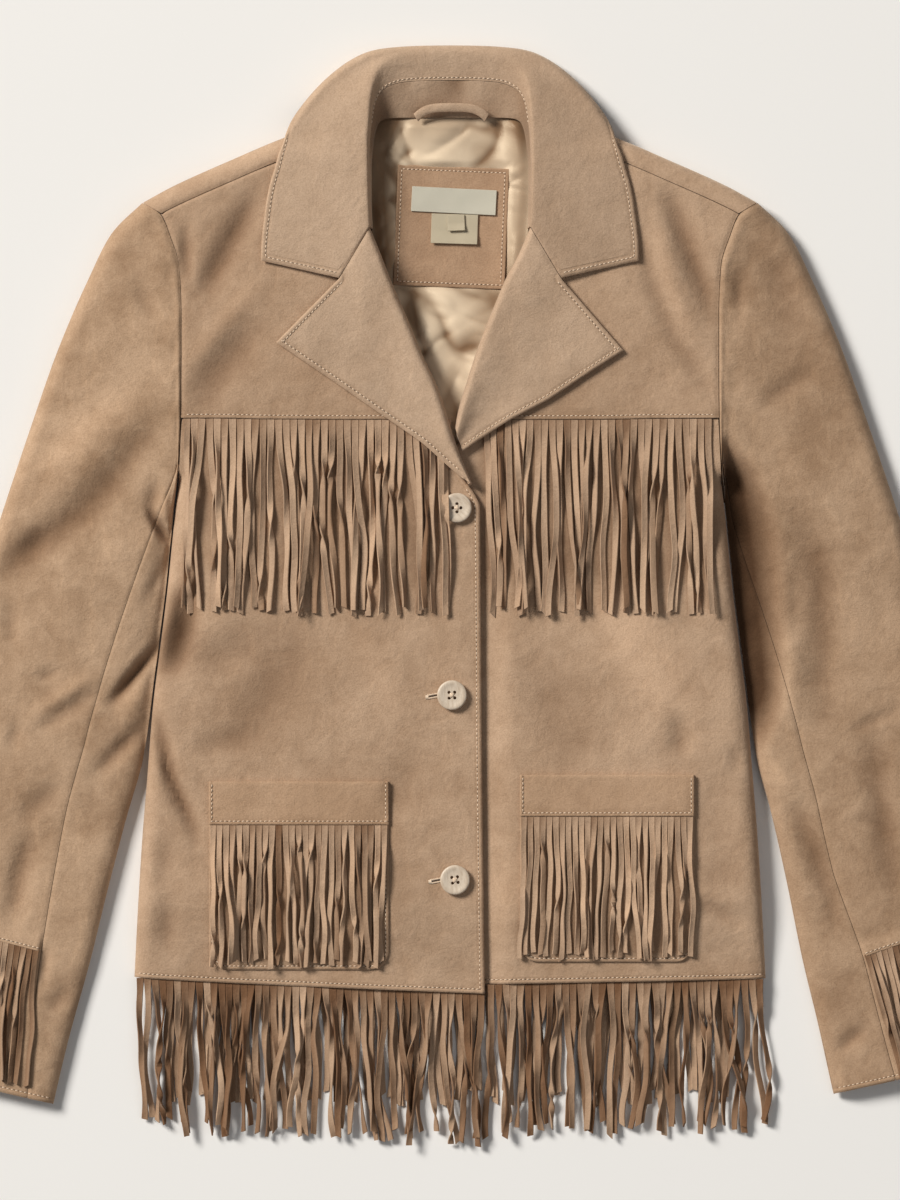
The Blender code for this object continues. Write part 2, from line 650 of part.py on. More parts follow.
def collar_section(row, stand_from, stand_to, leaf_points):
    """Points across the collar: up the stand, over the roll and along the leaf."""
    roll = np.array([row.roll_x, row.roll_y, row.roll_z])
    seam = np.array([row.seam_x, row.seam_y, row.seam_z])
    turn = math.radians(row.turn)
    out = np.array([math.cos(turn), math.sin(turn)])
    points = []
    for t in np.linspace(stand_from, stand_to, 3):
        point = seam + (roll - seam) * t
        point[2] = seam[2] + (roll[2] - seam[2]) * t ** 0.8
        points.append(point)
    if not leaf_points:
        return points
    half = row.end_z / 2
    arc = math.pi * math.sqrt((half ** 2 + COLLAR_FOLD ** 2) / 2)
    level = min(row.run, 0.8 * row.leaf)
    flats = list(np.linspace(0, level, leaf_points // 2 + 1)[1:])
    turned = list(np.linspace(level, row.leaf, 6)[1:-1])
    if row.run + arc < row.leaf:
        turned = [row.run + arc * t for t in (0.25, 0.5, 0.75, 1)]
    for along in (*flats, *turned, row.leaf):
        share = along / row.leaf
        if along <= row.run:
            drop = smoothstep(0, 1, along / min(row.run, row.leaf))
            plan, height = roll[:2] + out * along, row.roll_z + (row.end_z - row.roll_z) * drop
        else:
            beyond = min(1.0, (along - row.run) / arc)
            angle = math.pi * beyond
            back = max(0.0, along - row.run - arc)
            plan = roll[:2] + out * (row.run + COLLAR_FOLD * math.sin(angle) - back)
            height = half * (1 + math.cos(angle))
        if row.dip > 0:
            plan = plan + row.dip * notch_offset(share)
        points.append(np.array([*plan, height]))
    return points


def notch_offset(share):
    """How far the collar's front end departs from a straight line, most at the notch."""
    at, x, y = COLLAR_NOTCH
    first = COLLAR[0]
    turn = math.radians(first.turn)
    out = np.array([math.cos(turn), math.sin(turn)])
    straight = np.array([first.roll_x, first.roll_y]) + out * first.leaf * at
    peak = np.array([x, y]) - straight
    return peak * (share / at if share < at else (1 - share) / (1 - at))


def collar_rows(count):
    """Stations from the wearer's right gorge round to the left one."""
    places = np.linspace(0, len(COLLAR) - 1, count)
    half = [Collar(*r) for r in through(range(len(COLLAR)), np.array(COLLAR, float), places)]
    return [(-1, row) for row in half] + [(1, row) for row in half[-2::-1]]


def add_collar(stations=12, leaf_points=8):
    leaf, stand = [], []
    for sign, row in collar_rows(stations):
        shape = np.array([sign, 1, 1])
        leaf.append([p * shape for p in collar_section(row, STAND_SHARE + 0.01, 1.0, leaf_points)])
        stand.append([p * shape for p in collar_section(row, 0.02, STAND_SHARE, 0)])
    return (
        add_wall("collar", leaf, SUEDE_LOOK, thick=DOUBLE, flip=True),
        add_wall("collar_stand", stand, SUEDE_LOOK, thick=SUEDE, flip=True),
    )


# Neck -----------------------------------------------------------------------------------------


def lining_height(x, y):
    ys = column(LINING, "y")[::-1]
    half = through(ys, column(LINING, "half_x")[::-1], y)
    edge = through(ys, column(LINING, "edge_z")[::-1], y)
    return LINING_Z + (edge - LINING_Z) * np.clip(np.abs(x) / half, 0, 1) ** 4


def add_lining(rows=11, cols=9):
    grid = []
    for y in np.linspace(LINING[0].y, LINING[-1].y, rows):
        half = float(through(column(LINING, "y")[::-1], column(LINING, "half_x")[::-1], y))
        grid.append([(x, y, float(lining_height(x, y))) for x in np.linspace(-half, half, cols)])
    return add_wall("lining", grid, SATIN_LOOK, thick=SATIN, flip=True)


def add_tag(name, tag, look, cols, rows):
    """A flat piece sewn over the lining, shaped to it."""
    turn = math.radians(tag.tilt)
    grid = []
    for v in np.linspace(0.5, -0.5, rows):
        row = []
        for u in np.linspace(-0.5, 0.5, cols):
            across, up = u * tag.width, v * tag.height
            x = tag.x + across * math.cos(turn) - up * math.sin(turn)
            y = tag.y + across * math.sin(turn) + up * math.cos(turn)
            row.append((x, y, float(lining_height(x, y)) + tag.lift))
        grid.append(row)
    return add_wall(name, grid, look, thick=tag.thick, flip=True)


def add_hanger_loop():
    """A strap lying on the collar stand, with its ends at the neck seam."""
    wide, reach, rise = 5.0, 24.5, 7.0
    grid = []
    for share in np.linspace(-1, 1, 9):
        arch = 1 - share ** 4
        x, y = reach * share + 1.0, 341.0 + rise * arch
        grid.append([(x, y + wide * step, 9.6 + 2.0 * arch + 1.2 * step) for step in (0, 1)])
    return add_wall("hanger_loop", grid, SUEDE_LOOK, thick=SUEDE)


# Pockets and buttons --------------------------------------------------------------------------


def add_pocket(side, bed):
    """The patch and its band, on the front's own grid lines and moved out."""
    pocket = POCKETS[side.name]
    xs, _, ys = front_lines(side)
    at = lambda x, y, lift: (side.sign * x, y, bed(side.sign * x, y) + lift)
    grid = [[at(x, y, LAYER) for x in xs] for y in ys if pocket.bottom_y < y <= pocket.top_y]
    for angle in (35, 75):
        inset = pocket.corner * (1 - math.cos(math.radians(angle)))
        y = pocket.bottom_y + pocket.corner * (1 - math.sin(math.radians(angle)))
        ends = [xs[0] - inset, *xs[1:-1], xs[-1] + inset]
        grid.append([at(x, y, LAYER) for x in ends])
    base = add_wall(f"pocket_{side.name}", grid, SUEDE_LOOK, flip=side is RIGHT)
    band = [[at(x, y, 2 * LAYER) for x in xs] for y in ys if pocket.band_y <= y <= pocket.top_y]
    return base, add_wall(f"pocket_band_{side.name}", band, SUEDE_LOOK, flip=side is RIGHT)


def add_button(name, place):
    """A four-hole button, lying on the wearer's right front."""
    height = float(front_height(RIGHT, -place.x, place.y)) + 1.6
    shape = bmesh.new()
    bmesh.ops.create_cone(
        shape,
        cap_ends=True,
        segments=20,
        radius1=BUTTON_DIAMETER / 2 * MM,
        radius2=BUTTON_DIAMETER / 2 * 0.93 * MM,
        depth=BUTTON_THICK * MM,
    )
    mesh = bpy.data.meshes.new(f"button_{name}")
    shape.to_mesh(mesh)
    shape.free()
    made = bpy.data.objects.new(f"button_{name}", mesh)
    jacket.objects.link(made)
    made.location = Vector((place.x, place.y, height + BUTTON_THICK / 2)) * MM
    mesh.materials.append(material(BUTTON_LOOK))
    holes = bmesh.new()
    for sx in (-1, 1):
        for sy in (-1, 1):
            rod = bmesh.ops.create_cone(
                holes,
                cap_ends=True,
                segments=8,
                radius1=HOLE_RADIUS * MM,
                radius2=HOLE_RADIUS * MM,
                depth=2 * BUTTON_THICK * MM,
            )
            bmesh.ops.translate(holes, verts=rod["verts"], vec=Vector((sx, sy, 0)) * HOLE_OFF * MM)
    cutter_mesh = bpy.data.meshes.new(f"holes_{name}")
    holes.to_mesh(cutter_mesh)
    holes.free()
    cutter = bpy.data.objects.new(f"holes_{name}", cutter_mesh)
    cutters.objects.link(cutter)
    cutter.location = made.location
    cutter.hide_render = True
    cutter.display_type = "WIRE"
    cut = made.modifiers.new("holes", "BOOLEAN")
    cut.operation = "DIFFERENCE"
    cut.object = cutter
    return made


# Fringes --------------------------------------------------------------------------------------

UP = np.array([0.0, 0.0, 1.0])
ACROSS = np.array([1.0, 0.0, 0.0])


def sway(k, t, size=2.4):
    """How far strand k strays sideways at t; neighbours stray alike, so they stay apart."""
    return size * t * (math.sin(0.42 * k + 0.8 + 1.1 * t) + 0.25 * math.sin(1.1 * k + 2.6 * t))


def rest_height(height_at, x, y, reach, wide):
    """The highest that the panel stands within reach of a strand's section."""
    ys = np.linspace(y - reach, y + reach, 7)
    return max(height_at(x + aside, here) for aside in (-wide / 2, 0.0, wide / 2) for here in ys)


def add_front_fringe(name, side, count, outer_x, inner_x, top_y, length, height_at, segments=3):
    """A fringe on the front. height_at gives its bed, and its strip ends at the piece above."""
    sign = side.sign
    order = np.linspace(outer_x, inner_x, count + 1)[::-sign]
    tops, slits, strands = [], [], []
    for x in order:
        y = float(top_y(x))
        lie = max(float(height_at(x, y)), float(height_at(x, y - STRIP_DEEP)))
        tops.append((np.array([sign * x, y - GAP, lie + GAP + STRAND_THICK]), UP))
        slits.append((np.array([sign * x, y - STRIP_DEEP, lie + GAP + STRAND_THICK + 0.1]), UP))
    pitch = abs(order[1] - order[0])
    for k in range(count):
        x = (order[k] + order[k + 1]) / 2
        y = float(top_y(x)) - STRIP_DEEP
        long = length - STRIP_DEEP + 3.0 * math.sin(1.7 * k)
        strand = []
        for j in range(1, segments + 1):
            t = j / segments
            x_here = x + sway(k, t)
            y_here = y - long * t
            bed = rest_height(height_at, x_here, y_here, long / segments, pitch)
            lift = GAP + STRAND_THICK + 0.5 + 0.6 * (1 + math.sin(2.3 * k + 2 * t))
            strand.append((np.array([sign * x_here, y_here, bed + lift]), ACROSS, UP, pitch * 0.72))
        strands.append(strand)
    return add_comb(name, tops, slits, strands)


def add_chest_fringe(side, count, bed):
    height = lambda x, y: bed(side.sign * x, y)
    inner = 5.0 if side is RIGHT else 29.0
    outer = 191.0
    name = f"chest_fringe_{side.name}"
    return add_front_fringe(name, side, count, outer, inner, lambda x: YOKE_SEAM_Y, CHEST_FRINGE, height)


def add_pocket_fringe(side, count, bed):
    pocket = POCKETS[side.name]
    top_y = lambda x: pocket.band_y
    height = lambda x, y: bed(side.sign * x, y) + LAYER
    name = f"pocket_fringe_{side.name}"
    outer, inner = pocket.outer_x - 0.6, pocket.inner_x + 0.6
    return add_front_fringe(name, side, count, outer, inner, top_y, POCKET_FRINGE, height)


def add_hem_fringe(side, count, segments=3):
    """A fringe that falls from the front's hem to just over the back's fringe."""
    outer = float(side_x(-278)) - 1.5
    inner = float(front_edge_x(side, -285)) if side is RIGHT else 27.0
    order = np.linspace(outer, inner, count + 1)[::-side.sign]
    hem = lambda x: float(hem_y(side, np.clip((outer - x) / (outer - inner), 0, 1)))
    fall = lambda down, low: low + (HEM_CROWN - 3.0 - low) * (1 - smoothstep(0, 0.55, down))
    tops, slits, strands = [], [], []
    for x in order:
        y = hem(x)
        lie = float(front_height(side, x, y)) - 0.4
        tops.append((np.array([side.sign * x, y - GAP, lie]), UP))
        slits.append((np.array([side.sign * x, y - STRIP_DEEP, lie - 0.5]), UP))
    pitch = abs(order[1] - order[0])
    low = 4.4
    for k in range(count):
        x = (order[k] + order[k + 1]) / 2
        y = hem(x) - STRIP_DEEP
        long = HEM_FRINGE - STRIP_DEEP + 3.0 * math.sin(1.9 * k) - 3.0
        strand = []
        for j in range(1, segments + 1):
            t = j / segments
            spread = sway(k, t)
            height = fall(t, low) + 0.9 * math.sin(1.3 * k) * t
            place = np.array([side.sign * (x + spread), y - long * t, height])
            strand.append((place, ACROSS, UP, pitch * 0.7))
        strands.append(strand)
    return add_comb(f"hem_fringe_{side.name}", tops, slits, strands)


def add_back_fringe(count, segments=2):
    """The back's fringe lies on the surface."""
    half = float(side_x(BACK_HEM_Y)) - UNDER_TURN - 2.0
    order = np.linspace(-half, half, count + 1)
    tops = [(np.array([x, BACK_HEM_Y - GAP, SUEDE + 0.1]), UP) for x in order]
    slits = [(np.array([x, BACK_HEM_Y - STRIP_DEEP, SUEDE + 0.1]), UP) for x in order]
    pitch = order[1] - order[0]
    strands = []
    for k in range(count):
        x = (order[k] + order[k + 1]) / 2
        long = BACK_FRINGE - STRIP_DEEP + 3.0 * math.sin(2.3 * k) - 3.0
        strand = []
        for j in range(1, segments + 1):
            t = j / segments
            place = np.array([x + sway(k, t), BACK_HEM_Y - STRIP_DEEP - long * t, SUEDE + 0.1])
            strand.append((place, ACROSS, UP, pitch * 0.62))
        strands.append(strand)
    return add_comb("hem_fringe_back", tops, slits, strands)


def add_cuff_fringe(side, count, segments=3):
    """A fringe on the top sleeve, from a seam above the cuff down to its hem."""
    seam_row = sleeve_row(side, side.fringe_row)
    wide = math.hypot(seam_row.outer_x - seam_row.inner_x, seam_row.outer_y - seam_row.inner_y)
    fold = FOLD_RADIUS / wide
    order = np.linspace(fold, seam_row.seam - 0.012, count + 1)[::-side.sign]
    strip_row = side.fringe_row + 0.13
    last_row = len(SLEEVE) - 1
    lie = GAP + STRAND_THICK + 0.3
    tops = [(sleeve_top_point(side, side.fringe_row, s, lie), UP) for s in order]
    slits = [(sleeve_top_point(side, strip_row, s, lie + 0.2), UP) for s in order]
    strands = []
    pitch = wide * abs(order[1] - order[0])
    for k in range(count):
        strand = []
        for j in range(1, segments + 1):
            t = j / segments
            at = strip_row + (last_row - strip_row) * CUFF_SHARE * t
            spread = (sleeve_row(side, at).seam - 0.012 - fold) / (seam_row.seam - 0.012 - fold)
            share = fold + ((order[k] + order[k + 1]) / 2 - fold) * spread
            here = sleeve_top_point(side, at, share)
            step = sleeve_top_point(side, at, share + 0.02) - here
            across = step * (1.0 if step[0] > 0 else -1.0)
            across[2] = 0.0
            across /= np.linalg.norm(across)
            reach = (last_row - strip_row) / segments * 0.5
            near = []
            for place in np.clip((at - reach, at, at + reach), 0, last_row):
                near += [sleeve_top_point(side, place, share + aside)[2] for aside in (-0.02, 0.02)]
            here[2] = max(near) + lie + 0.5 + 0.4 * math.sin(1.9 * k + t)
            strand.append((here, across, UP, pitch * 0.68))
        strands.append(strand)
    return add_comb(f"cuff_fringe_{side.name}", tops, slits, strands)


# Assembly -------------------------------------------------------------------------------------

for old in list(bpy.data.objects):
    bpy.data.objects.remove(old)
jacket = bpy.data.collections.new("fringed_jacket")
cutters = bpy.data.collections.new("cutters")
for group in (jacket, cutters):
    bpy.context.scene.collection.children.link(group)

add_back()
add_collar()
add_lining()
add_tag("label_patch", LABEL_PATCH, SUEDE_LOOK, 7, 5)
add_tag("main_label", MAIN_LABEL, LABEL_LOOK, 5, 2)
add_tag("care_tab", CARE_TAB, LABEL_LOOK, 3, 2)
add_tag("size_tab", SIZE_TAB, LABEL_LOOK, 2, 2)
add_hanger_loop()
for side, chest_strands, hem_strands in ((RIGHT, 28, 34), (LEFT, 26, 30)):
    front = bed_of(add_front(side))
    add_yoke(side)
    add_lapel(side)
    add_sleeve(side)
    add_pocket(side, front)
    add_chest_fringe(side, chest_strands, front)
    add_pocket_fringe(side, 18, front)
    add_hem_fringe(side, hem_strands)
    add_cuff_fringe(side, 10)
add_back_fringe(36)
for button_name, button_place in BUTTONS.items():
    add_button(button_name, button_place)
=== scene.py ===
# %% Load the frame
import math
from collections import namedtuple

import bmesh
import bpy
import numpy as np
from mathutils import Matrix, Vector
from mathutils.bvhtree import BVHTree


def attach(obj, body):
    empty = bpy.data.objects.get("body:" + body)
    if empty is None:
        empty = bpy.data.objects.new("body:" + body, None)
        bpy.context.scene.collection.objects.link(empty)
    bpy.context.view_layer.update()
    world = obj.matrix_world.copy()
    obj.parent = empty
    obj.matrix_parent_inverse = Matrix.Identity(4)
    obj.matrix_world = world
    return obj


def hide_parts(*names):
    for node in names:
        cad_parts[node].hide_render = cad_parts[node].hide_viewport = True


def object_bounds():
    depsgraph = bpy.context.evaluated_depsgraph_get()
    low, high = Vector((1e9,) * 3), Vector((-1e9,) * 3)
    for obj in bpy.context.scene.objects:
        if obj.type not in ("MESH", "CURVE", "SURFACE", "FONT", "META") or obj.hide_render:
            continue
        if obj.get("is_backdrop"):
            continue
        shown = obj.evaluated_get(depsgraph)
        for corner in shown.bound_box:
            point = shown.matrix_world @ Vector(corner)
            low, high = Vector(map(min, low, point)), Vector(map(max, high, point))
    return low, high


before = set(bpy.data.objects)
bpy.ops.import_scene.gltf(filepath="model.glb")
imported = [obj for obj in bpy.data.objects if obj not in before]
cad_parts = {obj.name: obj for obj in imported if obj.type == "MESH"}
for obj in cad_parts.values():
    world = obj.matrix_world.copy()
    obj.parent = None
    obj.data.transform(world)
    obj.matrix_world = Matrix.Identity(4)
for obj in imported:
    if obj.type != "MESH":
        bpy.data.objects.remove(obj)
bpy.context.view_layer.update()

MM = 0.001
print("nodes to dress:", len(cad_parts))

# %% [markdown]
# # A fringed suede jacket, laid out
# The jacket lies face up and buttoned on a pale surface. Each pattern piece of the garment becomes one
# thin, slightly rounded shell. A shell could be sculpted or simulated, but a laid garment is mostly
# flat, so a grid of points worked out from short tables is steadier: x and y follow the cut, and z
# follows how the cloth lies. Sizes are in millimetres, with x measured outwards from the centre front.

# %% Curves
def curve(knots, values, at):
    """The values at `at`, on a smooth curve through (knots, values) that doesn't overshoot; knots rise."""
    knots, values = np.asarray(knots, float), np.asarray(values, float)
    wide = np.diff(knots) if values.ndim == 1 else np.diff(knots)[:, None]
    steps = np.diff(values, axis=0) / wide
    slopes = np.concatenate([steps[:1], np.zeros_like(values[1:-1]), steps[-1:]])
    before, after = steps[:-1], steps[1:]
    same = before * after > 0
    slopes[1:-1][same] = (2 * before * after)[same] / (before + after)[same]
    at = np.asarray(at, float)
    i = np.clip(np.searchsorted(knots, at, side="right") - 1, 0, len(knots) - 2)
    span = knots[i + 1] - knots[i]
    t = np.clip((at - knots[i]) / span, 0, 1)
    if values.ndim > 1:
        t, span = np.expand_dims(t, -1), np.expand_dims(span, -1)
    a, b, sa, sb = values[i], values[i + 1], slopes[i] * span, slopes[i + 1] * span
    return a + t * (sa + t * (3 * (b - a) - 2 * sa - sb + t * (2 * (a - b) + sa + sb)))


def ease(low, high, value):
    t = np.clip((np.asarray(value, float) - low) / (high - low), 0, 1)
    return t * t * (3 - 2 * t)


EDGE_STEPS = np.array((0.0, 0.7, 1.6, 2.8, 4.4))


def steps_along(length, count, start=EDGE_STEPS, end=EDGE_STEPS):
    """Distances from 0 to length: close at an edge or a seam, where the cloth rounds, and even between."""
    squeeze = min(1.0, 0.4 * length / max(start[-1], end[-1], 0.1))
    start, end = start * squeeze, end * squeeze
    middle = np.linspace(start[-1], length - end[-1], count)
    return np.concatenate([start[:-1], middle, (length - end[:-1])[::-1]])


PLAIN = np.array((0.0,))  # no closer steps at that end
FAR = 60.0  # the distance stored where no stitched edge is near


def waves(x, y, scale, seed):
    """Soft hills of about that scale, between -1 and 1: a lattice of fixed heights, joined smoothly."""
    heights = np.random.default_rng(seed).uniform(-1, 1, (64, 64))
    u, v = np.asarray(x, float) / scale + 31.7, np.asarray(y, float) / scale + 29.3
    i, j = np.floor(u).astype(int), np.floor(v).astype(int)
    a, b = ease(0, 1, u - i), ease(0, 1, v - j)
    at = lambda p, q: heights[p % 64, q % 64]
    low = at(i, j) * (1 - a) + at(i + 1, j) * a
    high = at(i, j + 1) * (1 - a) + at(i + 1, j + 1) * a
    return low * (1 - b) + high * b


print("a curve through 0, 1, 0 reads", float(curve([0, 1, 2], [0.0, 1.0, 0.0], 0.5)), "at a half")

# %% [markdown]
# ## Shells
# A piece of suede is a sheet about 1.5 mm thick whose cut edge is a little rounded. Modelling both faces
# by hand would double the work, so a single grid of outer points is thickened inwards by Solidify, and
# its sharp rim is softened by a small Bevel. Each vertex also stores how far it lies from the nearest
# stitched edge, so that the finish can dent the cloth along its stitching, paint shade into the dent and
# darken the cloth towards the edge.

# %% Make a shell from a grid of points
def add_object(name, vertices, faces, material):
    """An object from vertices in millimetres."""
    mesh = bpy.data.meshes.new(name)
    mesh.from_pydata((np.asarray(vertices, float) * MM).tolist(), [], faces)
    mesh.update()
    made = bpy.data.objects.new(name, mesh)
    bpy.context.scene.collection.objects.link(made)
    mesh.materials.append(material)
    mesh.shade_smooth()
    return made


def grid_faces(rows, cols, flip, skip=None):
    r, c = np.meshgrid(np.arange(rows - 1), np.arange(cols - 1), indexing="ij")
    keep = np.ones(r.shape, bool) if skip is None else ~skip(r, c)
    a = (r * cols + c)[keep]
    faces = np.stack([a, a + 1, a + cols + 1, a + cols], 1)
    return faces[:, ::-1] if flip else faces


def store(mesh, name, values):
    mesh.attributes.new(name, "FLOAT", "POINT").data.foreach_set("value", np.asarray(values, np.float32))


def add_shell(name, grid, material, thick, flip=False, skip=None, edge=None, edge_round=0.45, crease=None):
    """A sheet of cloth over a grid of outer points, thickened inwards. edge is the distance from a stitched
    edge, and crease the depth of a trough, below 0, which the finish shows as painted shade, or the height
    of a ridge, which it shows as painted light."""
    grid = np.asarray(grid, float)
    rows, cols = grid.shape[:2]
    faces = grid_faces(rows, cols, flip, skip)
    used, faces = np.unique(faces, return_inverse=True)
    faces = faces.reshape(-1, 4)
    made = add_object(name, grid.reshape(-1, 3)[used], faces.tolist(), material)
    edge = np.full((rows, cols), FAR) if edge is None else np.asarray(edge)
    store(made.data, "edge_mm", edge.reshape(-1)[used])
    if crease is not None:
        store(made.data, "crease_mm", np.asarray(crease).reshape(-1)[used])
    wall = made.modifiers.new("wall", "SOLIDIFY")
    wall.thickness = thick * MM
    wall.offset = -1
    rim = made.modifiers.new("rim", "BEVEL")
    rim.limit_method = "ANGLE"
    rim.angle_limit = math.radians(50)
    rim.width = edge_round * MM
    rim.segments = 2
    rim.harden_normals = True
    rows_long = np.linalg.norm(np.diff(grid, axis=1), axis=2).sum(1).max() * MM
    cols_long = np.linalg.norm(np.diff(grid, axis=0), axis=2).sum(0).max() * MM
    corners = grid.reshape(-1, 3)[used][faces] * MM
    across = np.cross(corners[:, 2] - corners[:, 0], corners[:, 3] - corners[:, 1])
    area = float(np.linalg.norm(across, axis=1).sum() / 2)
    made["cut"] = (rows_long, cols_long, min(area, rows_long * cols_long))
    print(f"{name}: {len(faces)} quads, cut {rows_long:.3f} x {cols_long:.3f} m")
    return made


def dress(piece, *nodes, slot="suede", rests_on=(), with_pieces=(), sheet=True):
    """The piece stands for its nodes and rides on the jacket; sheet is not used."""
    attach(piece, "root")
    if nodes:
        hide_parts(*nodes)
    return piece


def nearest(x, y, line):
    """How far each point lies from a line of points, in plan, and at what share of it that is."""
    p = np.stack([np.ravel(x), np.ravel(y)], 1)[:, None]
    line = np.asarray(line, float)[:, :2]
    a, b = line[:-1][None], line[1:][None]
    along = np.clip(((p - a) * (b - a)).sum(2) / ((b - a) ** 2).sum(2), 0, 1)
    off = np.linalg.norm(a + (b - a) * along[..., None] - p, axis=2)
    best = off.argmin(1)
    pick = np.arange(len(best)), best
    return off[pick].reshape(np.shape(x)), ((best + along[pick]) / (len(line) - 1)).reshape(np.shape(x))


def from_line(x, y, line):
    return nearest(x, y, line)[0]


print("a 40 mm strip gets", len(steps_along(40, 8)), "columns")

# %% [markdown]
# ## How the cloth lies
# The body is two layers of suede with the fronts arched a little over the back, and round folds at the
# sides and the shoulders. The height of the fronts is one formula of x and y, so that everything sewn
# on them, such as yokes, pockets and lapels, can lie exactly a layer above. Creases are troughs and
# ridges, each a row in a table, and soft noise keeps the rest from looking machined.

# %% Sizes of the laid body
SUEDE, DOUBLE, SATIN, GAP = 1.5, 2.4, 1.0, 0.3
LAYER = SUEDE + GAP
CROWN, HEM_CROWN, CUFF_CROWN = 19.0, 11.0, 13.0
FOLD_RADIUS, UNDER_TURN = 12.0, 17.0
YOKE_SEAM_Y, UNDERARM_Y = 126.0, 82.0
HEM_FADE, EDGE_DIP, SHOULDER_SEAM = 70.0, 5.4, 16.0
HEM_Y, NECK_X = -282.0, 66.0  # the hem's mean height, and where the shoulder fold meets the neck
# painted shade behind a fringe, seen in the gaps between its strands
SHADE_BEHIND_FRINGE = 3.6  # how much darker the suede is behind a fringe, as the depth of a crease
RIGHT, LEFT = -1, 1  # the wearer's right is at -X
NAMES = {RIGHT: "right", LEFT: "left"}

SIDE_EDGE = np.array([
    (-290, 228.0), (-240, 225.5), (-181, 222.0), (-130, 218.0), (-80, 214.0), (-40, 209.0),
    (5, 203.5), (35, 200.5), (60, 198.0), (82, 195.5), (118, 193.7), (140, 192.4),
    (200, 192.4), (237, 193.8), (258, 200.2), (274, 208.3), (282, 220.7),
])  # y, x
SHOULDER_FOLD = np.array([(66, 343), (95, 337), (120, 328.5), (159, 312), (200, 293.5), (221, 282)])
FRONT_EDGE = {  # y, x: past the centre where x is negative
    RIGHT: np.array([
        (-290, -25.2), (-120, -23.0), (62, -21.5), (72, -17.5), (84, -9.0), (107, 2.0), (126, 11.5),
    ]),
    LEFT: np.array([(-290, -20.0), (75, -20.0), (95, -8.0), (107, 4.0), (126, 11.5)]),
}
FRONT_HEM = {RIGHT: (-276.0, -288.0), LEFT: (-277.0, -282.0)}
ARMHOLE = np.array([
    (221.6, 281.6), (214.6, 277.6), (208.3, 273.1), (201.3, 257.0), (195.0, 236.0),
    (193.4, 200.0), (193.4, 163.0), (193.7, 126.0), (194.6, 103.0), (196.3, 81.0),
])  # x, y, from the shoulder fold to the underarm
arm_shares = np.concatenate([[0], np.cumsum(np.hypot(*np.diff(ARMHOLE, axis=0).T))])
arm_shares = arm_shares / arm_shares[-1]
arm_line = curve(arm_shares, ARMHOLE, np.linspace(1, 0, 200))
armhole_x = lambda y: np.interp(y, arm_line[:, 1], arm_line[:, 0])
side_x = lambda y: curve(SIDE_EDGE[:, 0], SIDE_EDGE[:, 1], y)
shoulder_y = lambda x: curve(SHOULDER_FOLD[:, 0], SHOULDER_FOLD[:, 1], x)
front_edge_x = lambda side, y: curve(FRONT_EDGE[side][:, 0], FRONT_EDGE[side][:, 1], y)


def rounding(distance):
    """How high a fold stands at a distance from its outermost line, from 0 to 1."""
    near = 1 - np.clip(distance / FOLD_RADIUS, 0, 1)
    return np.sqrt(1 - near * near)


print("the body is", 2 * float(side_x(-280)), "mm wide at the hem")

# %% Creases
# Each row: how wide, how high (below 0 for a trough), and the points it passes, x outwards.
BODY_CREASES = {
    RIGHT: [
        (5, -3.3, (190, 264), (190, 225)), (9, -4.8, (140, 287), (163, 243), (177, 216)),
        (9, 2.0, (140, 222), (186, 163)), (13, -3.6, (136, 196), (167, 160), (181, 133)),
        (11, -9.5, (188, 4), (195, -28), (204, -58)), (5, -6.0, (212, -86), (202, -130), (181, -176)),
        (14, -2.7, (183, -51), (140, -33)), (10, -2.5, (181, -111), (144, -102)),
        (7, -2.7, (204, -222), (204, -256)), (7, -1.8, (204, -176), (206, -213)),
        (22, 2.4, (150, 60), (178, -10)), (20, -2.7, (110, -30), (150, -110)),
        (14, 1.2, (62, -20), (32, -95)), (11, -1.5, (22, -110), (60, -190)),
    ],
    LEFT: [
        (8, -4.7, (158, 287), (174, 243), (190, 202)),
        (7, -2.7, (139, 257), (146, 225), (164, 183), (190, 142)),
        (9, 2.0, (150, 264), (160, 215), (176, 178)), (8, -3.0, (164, -88), (167, -116)),
        (6, -2.1, (206, -110), (206, -130)), (5, -1.8, (181, -222), (206, -236)),
        (5, 1.5, (178, -212), (208, -226)), (24, 2.7, (110, 10), (175, -100)),
        (22, -2.5, (60, -40), (95, -125)), (17, -1.2, (186, -140), (196, -240)),
        (9, -2.0, (195, 60), (172, -15)), (14, 1.2, (70, -175), (30, -250)),
    ],
}
